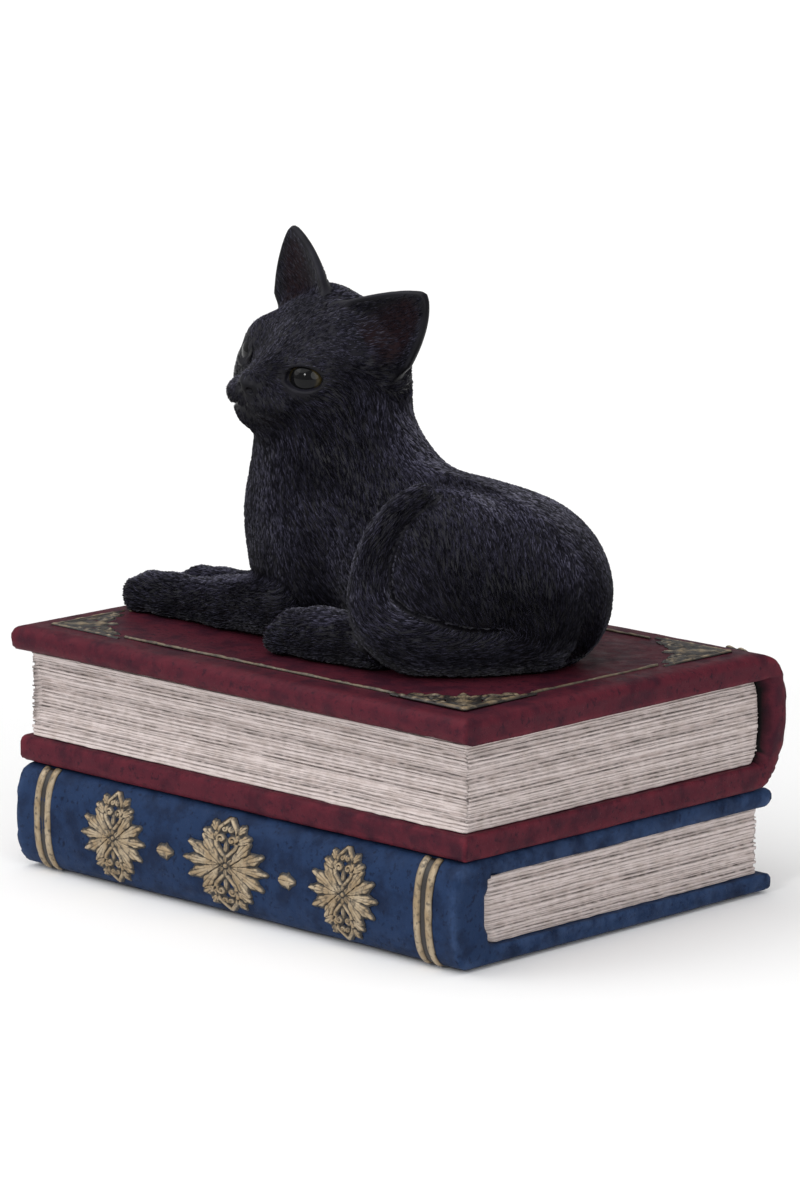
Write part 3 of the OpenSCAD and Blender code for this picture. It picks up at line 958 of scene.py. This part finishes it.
def egg(p, centre, radii, turn=None):
    q = p - np.asarray(centre, float)
    if turn is not None:
        q = q @ turn
    q = q / radii
    k0 = np.linalg.norm(q, axis=1)
    k1 = np.linalg.norm(q / radii, axis=1) + 1e-9
    return k0 * (k0 - 1) / k1


def limb(p, a, b, ra, rb):
    a, b = np.asarray(a, float), np.asarray(b, float)
    ab = b - a
    t = np.clip(((p - a) @ ab) / (ab @ ab), 0, 1)
    return np.linalg.norm(p - a - t[:, None] * ab, axis=1) - (ra + (rb - ra) * t)


def chain(p, links, k):
    """Limbs end to end. A link is x, y, height above the cover, radius."""
    d = None
    for l0, l1 in zip(links[:-1], links[1:]):
        e = limb(p, (l0[0], l0[1], l0[2] + COVER_Z), (l1[0], l1[1], l1[2] + COVER_Z), l0[3], l1[3])
        d = e if d is None else blend(d, e, k)
    return d


def smooth_run(links, between):
    """A smooth curve through a chain's links."""
    links = np.array(links, float)
    p = np.vstack([2 * links[0] - links[1], links, 2 * links[-1] - links[-2]])
    out = []
    for i in range(1, len(p) - 2):
        for t in np.linspace(0, 1, between, endpoint=False):
            out.append(0.5 * (2 * p[i] + (p[i + 1] - p[i - 1]) * t
                              + (2 * p[i - 1] - 5 * p[i] + 4 * p[i + 1] - p[i + 2]) * t * t
                              + (3 * p[i] - p[i - 1] - 3 * p[i + 1] + p[i + 2]) * t ** 3))
    return np.array(out + [links[-1]])


EAR_FOOT = np.array([11.6, 2.5, 7.3])
EAR_UP = np.array([0.516, -0.092, 0.852])
EAR_TALL = 20.6
EAR_CUP = 0.034


def ear_axes(side):
    up = EAR_UP * [side, 1, 1] / np.linalg.norm(EAR_UP)
    face = np.array([side * 0.12, -0.99, 0.0])
    face -= (face @ up) * up
    face /= np.linalg.norm(face)
    return np.cross(up, face), up, face


def ear_coords(q, side):
    wide, up, face = ear_axes(side)
    v = q - EAR_FOOT * [side, 1, 1]
    return v @ wide, v @ up, v @ face


def ear_reach(a, t, side):
    """How far an ear reaches from its middle line: round outside, long and straight towards the crown."""
    t = np.clip(t, 0, 1)
    outer = (10.8 if side > 0 else 9.4) * (1 - t ** 1.9) ** 0.62 * (0.76 + 0.24 * np.clip(t * 3, 0, 1))
    inner = 13.6 * (1 - t ** 1.2) ** 0.85
    return np.where(a * side > 0, outer, inner)


def ear_half(a, b, side):
    """An ear's half width at height b, on the side where a lies, narrowing again below its foot."""
    half = ear_reach(a, b / EAR_TALL, side) + np.minimum(EAR_TALL - b, 0)
    return half - np.where(a * side > 0, 0.15, 1.5) * np.clip(-b, 0, 7)


def ear(q, side):
    """A thin leaf, cupped forwards."""
    a, b, c = ear_coords(q, side)
    t = np.clip(b / EAR_TALL, -0.5, 1.2)
    half = ear_half(a, b, side)
    cup = EAR_CUP * a ** 2 * (1 - 0.25 * t)
    thick = 1.45 - 0.45 * np.clip(t, 0, 1)
    leaf = -blend(thick - np.abs(c - cup + 1.6), (half - np.abs(a)) * 0.8, 1.2)
    leaf = -blend(-leaf, EAR_TALL - b, 1.0)
    return -blend(-leaf, b + 7, 1.0)


def eye_opening(q, side):
    """The almond between the lids, in front of the eye."""
    look = np.array([side * 0.42, -0.90, 0.05])
    look /= np.linalg.norm(look)
    out = np.cross(look, [0, 0, 1.0])
    out *= side * np.sign(out[0]) / np.linalg.norm(out)
    up = np.cross(out, look)
    up *= np.sign(up[2])
    v = q - EYE_SEAT * [side, 1, 1]
    a, b, c = v @ out, v @ up, v @ look
    slant = math.radians(9)
    a, b = a * math.cos(slant) + b * math.sin(slant), b * math.cos(slant) - a * math.sin(slant)
    reach = 4.8
    upper = 3.1 * np.sqrt(np.clip(1 - (np.abs(a) / reach) ** 2.1, 0, 1))
    lower = 2.8 * np.sqrt(np.clip(1 - (np.abs(a) / reach) ** 1.9, 0, 1))
    almond = np.maximum(np.maximum(b - upper, -b - lower), np.abs(a) - reach)
    return np.maximum(almond * 0.9, -c)


def head_field(p):
    q = (p - HEAD_AT) @ HEAD_TURN
    d = egg(q, (0, 2, 0.2), (17.2, 17.5, 16.0))
    d = blend(d, egg(q, (0, -4.5, -5), (16.3, 12.0, 10.5)), 4)
    for s in (1, -1):
        d = blend(d, egg(q, (s * 9.2, -7.4, -6.2), (7.6, 7.4, 6.8)), 4)
        d = blend(d, egg(q, (s * 7.2, -9.8, 4.6), (6.0, 4.8, 4.0)), 3)
    d = blend(d, limb(q, (0, -8, 5.4), (0, -19.9, -3.2), 6.0, 3.3), 3.5)
    d = blend(d, egg(q, (0, -15.0, -7.0), (8.2, 7.4, 5.3)), 3)
    for s in (1, -1):
        d = blend(d, egg(q, (s * 3.6, -18.1, -7.6), (4.9, 4.6, 3.9)), 1.6)
    d = blend(d, egg(q, (0, -17.0, -11.4), (5.2, 4.5, 3.1)), 1.8)
    d = blend(d, egg(q, (0, -21.4, -4.4), (3.2, 2.2, 2.0)), 0.8)
    for s in (1, -1):
        d = blend(d, egg(q, (s * 11.6, 3.8, 7.4), (7.2, 4.8, 5.5)), 4)
        d = blend(d, egg(q, (s * 6.0, 3.4, 11.4), (5.0, 4.0, 4.6)), 4)
        d = blend(d, egg(q, (s * 14.6, 4.0, 4.6), (4.4, 4.4, 6.5)), 4)
        d = blend(d, ear(q, s), 1.6)
        d = carve(d, egg(q, (s * 1.75, -23.3, -4.9), (0.95, 1.2, 0.65)), 0.4)
        d = carve(d, limb(q, (s * 0.2, -23.2, -8.9), (s * 5.2, -20.2, -10.6), 0.55, 0.5), 0.5)
        d = carve(d, limb(q, (s * 5.2, -20.2, -10.6), (s * 7.8, -16.2, -10.2), 0.5, 0.2), 0.5)
    d = carve(d, limb(q, (0, -23.4, -6.0), (0, -23.3, -9.0), 0.4, 0.4), 0.4)
    for s in (1, -1):
        d = blend(d, np.linalg.norm(q - EYE_SEAT * [s, 1, 1], axis=1) - (EYE_R + 0.3), 3.6)
        d = carve(d, eye_opening(q, s), 0.45)
    return d


TAIL = smooth_run([(34, 14, 12, 10), (43, 6, 9, 8.6), (45.5, -6, 7.5, 7.8), (41, -17, 6.8, 7.0),
                   (33, -25, 6.6, 6.6), (27.8, -28.5, 8.5, 6.0), (22.8, -29.4, 13, 5.2),
                   (20.7, -27.9, 20, 4.6), (21.4, -25.2, 28, 4.1), (24.2, -21.8, 34.3, 3.5),
                   (27.4, -18.9, 37.8, 2.6)], 3)
FORELEGS = ((-18, -59.0), (-6, -55.5))
HIND_FEET = ((-1, -28, -2.5), (1, 22.5, -8))


def trunk_field(p):
    def lump(c, r, turn=None):
        return egg(p, (c[0], c[1], c[2] + COVER_Z), r, turn)

    lean, back = turn_matrix(1, 14), turn_matrix(1, -8)
    d = lump((25.5, -1, 18), (33.6, 24, 19.5))
    d = blend(d, lump((-15.5, -4, 21), (19.5, 17.5, 27)), 8)
    d = blend(d, chain(p, [(-15.5, -4, 30, 17.5), (-17, -2.5, 50, 16.5)], 3), 6)
    d = blend(d, chain(p, [(-13, -2.5, 42, 14.8), (9, -2, 20, 16.8)], 3), 6)
    d = blend(d, chain(p, [(-6, -2, 20, 16.5), (18, -2, 17.5, 19)], 3), 8)
    d = blend(d, lump((-11, -15.5, 16), (13, 9, 16), lean), 5)
    d = blend(d, lump((-11, 9, 16), (13, 9, 16), lean), 5)
    d = blend(d, lump((30.5, -13, 17.5), (20.8, 15.4, 20.5), back), 2.5)
    d = blend(d, lump((26.5, 10, 16.5), (22.5, 13, 17), back), 4)
    return blend(d, lump((43.5, 1, 12.5), (14, 14, 11.5)), 5)


def foreleg_field(p):
    d = None
    for y, tip in FORELEGS:
        leg = chain(p, [(-14, y, 8.5, 8.2), (-34, y, 5.2, 5.6), (tip + 7, y, 4.2, 4.7),
                        (tip, y, 4.2, 5.0)], 3)
        for spread in (-3.5, -1.2, 1.2, 3.5):
            toe = egg(p, (tip - 3.0 + abs(spread) * 0.4, y + spread, COVER_Z + 3.9), (4.3, 1.65, 4.0))
            leg = blend(leg, toe, 0.4)
        d = leg if d is None else np.minimum(d, leg)
    return d


def hind_foot_field(p):
    d = None
    for side, y, tip in HIND_FEET:
        foot = chain(p, [(20, y - side, 5.6, 6.0), (tip + 8, y, 5.2, 5.8), (tip, y, 4.6, 5.3)], 2)
        for spread in (-3.4, 0, 3.4):
            toe = egg(p, (tip - 2.6 + abs(spread) * 0.25, y + spread, COVER_Z + 3.4), (4.4, 2.3, 3.5))
            foot = blend(foot, toe, 0.4)
        d = foot if d is None else np.minimum(d, foot)
    return d


def tail_field(p):
    d = np.full(len(p), 1e3)
    for l0, l1 in zip(TAIL[:-1], TAIL[1:]):
        d = np.minimum(d, limb(p, l0[:3] + [0, 0, COVER_Z], l1[:3] + [0, 0, COVER_Z], l0[3], l1[3]))
    return d


def kitten_field(p):
    forelegs, feet, tail = foreleg_field(p), hind_foot_field(p), tail_field(p)
    root = np.clip((p[:, 0] + p[:, 1] - 28) / 14, 0, 1)
    d = trunk_field(p) + 0.45 * np.exp(-((forelegs - 0.5) / 0.9) ** 2)
    d = blend(d, forelegs, 1.6)
    d = blend(d + 0.8 * np.exp(-((feet - 0.4) / 0.8) ** 2), feet, 0.8)
    d = blend(d + 2.1 * (1 - root) * np.exp(-((tail - 0.35) / 0.9) ** 2), tail, 0.5 + 5 * root)
    d = blend(d, head_field(p), 5)
    return -blend(-d, p[:, 2] - COVER_Z - 0.02, 0.05)


def slope(field, p, e=0.06):
    g = np.stack([field(p + np.eye(3)[k] * e) - field(p - np.eye(3)[k] * e) for k in range(3)], 1) / (2 * e)
    return g


def settle(obj, rounds, near=None):
    """Draws a skin's points on to the sculpted surface."""
    co = points(obj)
    which = np.arange(len(co)) if near is None else near
    p = co[which]
    for _ in range(rounds):
        d = kitten_field(p)
        g = slope(kitten_field, p)
        size = np.maximum((g * g).sum(1), 0.05)
        p = p - g * np.clip(d / size, -1.2, 1.2)[:, None]
    co[which] = p
    set_points(obj, co)


def rough_out():
    """The kitten blocked out in round lumps, joined and skinned as one."""
    clear_pick()
    lumps = []

    def ball(place, radii, turn=None):
        bpy.ops.mesh.primitive_uv_sphere_add(segments=20, ring_count=12, radius=MM,
                                             location=[float(c) * MM for c in place])
        made = bpy.context.object
        if turn is not None:
            made.rotation_mode = "QUATERNION"
            made.rotation_quaternion = Matrix(turn.tolist()).to_quaternion()
        made.scale = radii
        lumps.append(made)

    def head_ball(place, radii):
        ball(HEAD_AT + HEAD_TURN @ np.array(place, float), radii, HEAD_TURN)

    def row(links):
        for l0, l1 in zip(links[:-1], links[1:]):
            l0, l1 = np.array(l0, float), np.array(l1, float)
            n = max(2, int(np.linalg.norm(l1[:3] - l0[:3]) / (min(l0[3], l1[3]) * 0.4)))
            for t in np.linspace(0, 1, n):
                at = l0 + (l1 - l0) * t
                ball(at[:3] + [0, 0, COVER_Z], [at[3]] * 3)

    for place, radii in (((25.5, -1, 18), (33.6, 24, 19.5)), ((-15.5, -4, 21), (19.5, 17.5, 27)),
                         ((-11, -15.5, 16), (13, 9, 16)), ((-11, 9, 16), (13, 9, 16)),
                         ((30.5, -13, 17.5), (20.8, 15.4, 20.5)), ((26.5, 10, 16.5), (22.5, 13, 17))):
        ball(np.array(place) + [0, 0, COVER_Z], radii)
    row([(-15.5, -4, 30, 17.5), (-17, -2.5, 50, 16.5)])
    row([(-13, -2.5, 42, 14.8), (9, -2, 20, 16.8), (18, -2, 17.5, 19)])
    for y, tip in FORELEGS:
        row([(-14, y, 8.5, 8.2), (-34, y, 5.2, 5.6), (tip, y, 4.2, 5.0)])
    for side, y, tip in HIND_FEET:
        row([(20, y - side, 5.6, 6.0), (tip, y, 4.6, 5.3)])
    row(TAIL[::2])
    for place, radii in (((0, 2, 0.2), (17.2, 17.5, 16.0)), ((0, -4.5, -5), (16.3, 12, 10.5)),
                         ((0, -15, -7), (8, 7.4, 5.2)), ((0, -14, 0), (5, 7, 5)),
                         ((0, -20, -4), (3.6, 3.4, 3))):
        head_ball(place, radii)
    for s in (1, -1):
        wide, up, face = ear_axes(s)
        head_ball(EYE_SEAT * [s, 1, 1], [EYE_R + 0.8] * 3)
        for b in np.array([-0.22, -0.04, 0.14, 0.32, 0.50, 0.68, 0.84, 0.94]) * EAR_TALL:
            for part in (-0.8, -0.4, 0.0, 0.4, 0.8):
                a = part * float(ear_half(np.array(part), np.array(b), s))
                at = EAR_FOOT * [s, 1, 1] + up * b + wide * a + face * (EAR_CUP * a * a - 1.6)
                head_ball(at, [min(2.5, 1.2 + (EAR_TALL - b) * 0.3)] * 3)
    pick(*lumps)
    bpy.ops.object.join()
    made = bpy.context.object
    made.name = "kitten"
    bpy.ops.object.transform_apply(location=True, rotation=True, scale=True)
    return made


def skin(obj, voxel):
    pick(obj)
    obj.data.remesh_voxel_size = voxel * MM
    obj.data.use_remesh_fix_poles = False
    bpy.ops.object.voxel_remesh()


def head_coords(co):
    return (co - HEAD_AT) @ HEAD_TURN


def inner_ear(co):
    """How far a point is inside an ear's cup, from 0 to 1."""
    q = head_coords(co)
    mask = np.zeros(len(co))
    for side in (1, -1):
        a, b, c = ear_coords(q, side)
        half = ear_reach(a, b / EAR_TALL, side)
        inside = np.clip((half * 0.72 - np.abs(a)) / 2.0, 0, 1)
        inside *= np.clip((c + 1.4 - EAR_CUP * a ** 2) / 0.6, 0, 1)
        inside *= np.clip((b - 1.5) / 3, 0, 1) * np.clip((EAR_TALL - 2 - b) / 3, 0, 1) * (c < 5)
        inside *= np.where(a * side < 0, np.clip(1.3 - np.abs(a) / 6, 0, 1), 1)
        mask = np.maximum(mask, inside)
    return mask


def make_kitten_skin():
    kitten = rough_out()
    skin(kitten, 1.1)
    settle(kitten, 6)
    skin(kitten, 0.62)
    settle(kitten, 3)
    face = head_coords(points(kitten))
    near = (np.abs(face[:, 0]) < 15) & (face[:, 1] < -6.5) & (face[:, 2] > -14) & (face[:, 2] < 8)
    pick(kitten)
    corners = np.empty(len(kitten.data.loops), np.int64)
    kitten.data.loops.foreach_get("vertex_index", corners)
    first = np.empty(len(kitten.data.polygons), np.int64)
    kitten.data.polygons.foreach_get("loop_start", first)
    kitten.data.polygons.foreach_set("select", np.logical_and.reduceat(near[corners], first))
    bpy.context.tool_settings.mesh_select_mode = (False, False, True)
    bpy.ops.object.mode_set(mode="EDIT")
    bpy.ops.mesh.subdivide(number_cuts=1)
    bpy.ops.object.mode_set(mode="OBJECT")
    face = head_coords(points(kitten))
    near = (np.abs(face[:, 0]) < 15.5) & (face[:, 1] < -6) & (face[:, 2] > -14.5) & (face[:, 2] < 8.5)
    settle(kitten, 3, np.flatnonzero(near))
    pick(kitten)
    bpy.ops.object.shade_smooth()
    co, out = points(kitten), normals(kitten)
    # Painted highlight: skin lighter where it faces up, plus a little random dry-brush noise.
    paint_mask(kitten, "drybrush_and_top_light", 0.05 * np.clip(out[:, 2] + 0.25, 0, 1) + 0.03 * soft_noise(co, 3, 9))
    paint_mask(kitten, "inner_ear", inner_ear(co))
    return kitten


# ---------------------------------------------------------------- fur strokes

def lie_of_fur(co, out):
    """The way the fur lies at each point, along the surface."""
    q = head_coords(co)
    parts = []
    back = (q - np.array([0, -21.0, -2.0])) * [1.0, 1.0, 0.85]
    parts.append((head_field(co), back @ HEAD_TURN.T))
    trunk = trunk_field(co)
    chest = np.clip((-2 - co[:, 0]) / 14, 0, 1)[:, None]
    flank = np.stack([np.full(len(co), 0.62), 0.25 * np.sign(co[:, 1] + 2), np.full(len(co), -0.70)], 1)
    down = np.stack([np.full(len(co), 0.15), 0.10 * (co[:, 1] + 4) / 10, np.full(len(co), -1.0)], 1)
    parts.append((trunk + 0.3, flank * (1 - chest) + down * chest))
    parts.append((foreleg_field(co), np.tile([-1.0, 0, -0.12], (len(co), 1))))
    parts.append((hind_foot_field(co), np.tile([-1.0, 0, -0.15], (len(co), 1))))
    middle = (TAIL[:-1, :3] + TAIL[1:, :3]) / 2 + [0, 0, COVER_Z]
    nearest = np.argmin(((co[:, None, :] - middle[None]) ** 2).sum(2), axis=1)
    parts.append((tail_field(co) - 0.2, (TAIL[1:, :3] - TAIL[:-1, :3])[nearest]))
    total = np.zeros_like(co)
    for d, way in parts:
        way = way - (way * out).sum(1)[:, None] * out
        way /= np.linalg.norm(way, axis=1)[:, None] + 1e-6
        total += way * np.exp(-np.clip(d, -0.5, 8) / 0.8)[:, None]
    total /= np.linalg.norm(total, axis=1)[:, None] + 1e-9
    return total


def scatter(obj, count):
    """Random points on a skin, as many to the square millimetre everywhere."""
    obj.data.calc_loop_triangles()
    tri = np.empty(len(obj.data.loop_triangles) * 3, np.int64)
    obj.data.loop_triangles.foreach_get("vertices", tri)
    tri = tri.reshape(-1, 3)
    co = points(obj)
    a, b, c = co[tri[:, 0]], co[tri[:, 1]], co[tri[:, 2]]
    area = np.linalg.norm(np.cross(b - a, c - a), axis=1)
    chosen = rng.choice(len(tri), count, p=area / area.sum())
    r1, r2 = np.sqrt(rng.random(count)), rng.random(count)
    shares = np.stack([1 - r1, r1 * (1 - r2), r1 * r2], 1)[:, :, None]
    return a[chosen] * shares[:, 0] + b[chosen] * shares[:, 1] + c[chosen] * shares[:, 2]


def lay_strokes(name, at, long_mm, wide_mm, high_mm):
    """Tapered ridges laid along the fur, bent to the surface and sunk at both ends."""
    out = slope(kitten_field, at)
    out /= np.linalg.norm(out, axis=1)[:, None] + 1e-9
    way = lie_of_fur(at, out)
    across = np.cross(out, way)
    swirl = 0.28 * soft_noise(at, 9, 21) + 0.13 * rng.standard_normal(len(at))
    way = way * np.cos(swirl)[:, None] + across * np.sin(swirl)[:, None]
    length = long_mm * (0.75 + 0.5 * rng.random(len(at)))
    width = wide_mm * (0.7 + 0.6 * rng.random(len(at)))
    high = high_mm * (0.6 + 0.8 * rng.random(len(at)))
    length *= np.where(kitten_field(at + way * (0.5 * length)[:, None]) > 0.2, 0.35, 1.0)
    grounds = []
    for t in (-0.5, 0.0, 0.5):
        spot = at + way * (t * length)[:, None]
        up = slope(kitten_field, spot)
        up /= np.linalg.norm(up, axis=1)[:, None] + 1e-9
        side = np.cross(up, way)
        side /= np.linalg.norm(side, axis=1)[:, None] + 1e-9
        grounds.append((spot - up * np.clip(kitten_field(spot), -0.6, 0.6)[:, None], up, side))
    rows = []
    for which, t, w, h in ((0, 0, 0, -0.12), (1, -0.08, 1, -0.3), (1, -0.08, -1, -0.3), (1, 0.05, 0, 1),
                           (2, 0, 0, 0.12)):
        spot, up, side = grounds[which]
        off = side * (w * width / 2)[:, None] + up * (h * high)[:, None]
        rows.append(spot + way * (t * length)[:, None] + off)
    stack = np.stack(rows, 1)
    n = len(at)
    base = (np.arange(n) * 5)[:, None]
    corners = ((0, 3, 1), (0, 2, 3), (1, 3, 4), (3, 2, 4), (0, 1, 2), (1, 4, 2))
    faces = np.stack([base + np.array(f) for f in corners], 1)
    made = mesh_piece(name, stack.reshape(-1, 3), faces.reshape(-1, 3))
    # Random dry-brush per stroke, made lighter where the stroke faces up as a painted highlight from above;
    # each stroke lightest on its crest.
    shade = np.clip(0.42 + 0.7 * out[:, 2], 0.22, 1) * (0.08 + 1.25 * rng.random(n) ** 2.1)
    shade *= 0.75 + 0.45 * soft_noise(at, 7, 31)
    per_point = np.repeat(shade[:, None], 5, 1) * np.array([0.05, 0.0, 0.0, 1.0, 0.65])
    paint_mask(made, "drybrush_and_top_light", per_point.ravel())
    paint_mask(made, "inner_ear", np.repeat(inner_ear(at) * 0.45, 5))
    return give(made, "lid", FUR)


def comb_fur(kitten):
    count = FUR_STROKES
    at = scatter(kitten, count)
    q = head_coords(at)
    on_cover = at[:, 2] > COVER_Z + 0.8
    nose = (q[:, 1] < -20.2) & (np.abs(q[:, 0]) < 3.3) & (q[:, 2] > -7.0) & (q[:, 2] < -2.4)
    eye_gap = np.minimum(*[np.linalg.norm(q - EYE_SEAT * [s, 1, 1], axis=1) for s in (1, -1)])
    lids = (eye_gap < EYE_R + 2.5) & (np.minimum(eye_opening(q, 1), eye_opening(q, -1)) < 0.7)
    lids |= (eye_gap < EYE_R + 0.5) & (q[:, 1] < -12)
    mouth = (q[:, 1] < -15) & (np.abs(q[:, 2] + 10.2) < 0.8) & (np.abs(q[:, 0]) < 7)
    rim = np.zeros(len(at), bool)
    for side in (1, -1):
        a, b, _ = ear_coords(q, side)
        rim |= (b > 0) & (ear(q, side) < 0.5) & (np.abs(a) > ear_half(a, b, side) - 1.3)
    keep = on_cover & ~nose & ~lids & ~mouth & ~rim
    at, q = at[keep], q[keep]
    in_head = (head_field(at) < 0.6) & (q[:, 2] > -16)
    face = in_head & (q[:, 1] < -4)
    ears = in_head & (q[:, 2] > 10) & (np.abs(q[:, 0]) > 9)
    crown = in_head & ~face & ~ears
    for name, area, bounds in (("fur_paws", ~in_head, (-200, -18)), ("fur_chest", ~in_head, (-18, 5)),
                               ("fur_flank", ~in_head, (5, 27)), ("fur_rump", ~in_head, (27, 200))):
        here = area & (at[:, 0] > bounds[0]) & (at[:, 0] <= bounds[1])
        lay_strokes(name, at[here], 2.8, 0.31, 0.32)
    lay_strokes("fur_crown", at[crown], 2.2, 0.30, 0.21)
    lay_strokes("fur_ears", at[ears], 1.7, 0.28, 0.15)
    fine = np.vstack([at[face], at[face] + 0.35 * rng.standard_normal((face.sum(), 3))])
    lay_strokes("fur_face", fine, 1.5, 0.25, 0.15)


def make_eye(node, side):
    lo, hi = mm_box(node)
    middle, radius = (lo + hi) / 2, (hi - lo)[2] / 2
    clear_pick()
    bpy.ops.mesh.primitive_uv_sphere_add(segments=96, ring_count=64, radius=radius * MM,
                                         location=[float(c) * MM for c in middle])
    ball = bpy.context.object
    ball.name = f"{node}_ball"
    bpy.ops.object.transform_apply(location=True, rotation=True, scale=True)
    bpy.ops.object.shade_smooth()
    look = HEAD_TURN @ np.array([side * 0.36, -0.93, 0.02])
    look /= np.linalg.norm(look)
    angle = np.degrees(np.arccos(np.clip(((points(ball) - middle) / radius) @ look, -1, 1)))
    iris = np.clip((angle - 37) / 4, 0, 1) * np.clip((58 - angle) / 4, 0, 1)
    paint_mask(ball, "iris", iris)
    return give(ball, "lid", EYE, [node])


def make_kitten():
    kitten = make_kitten_skin()
    give(kitten, "lid", FUR, ["cat"])
    comb_fur(kitten)
    make_eye("eye_left", 1)
    make_eye("eye_right", -1)


place_camera()
light_studio()
lay_floor()
make_books()
make_gilt()
make_felt()
make_kitten()
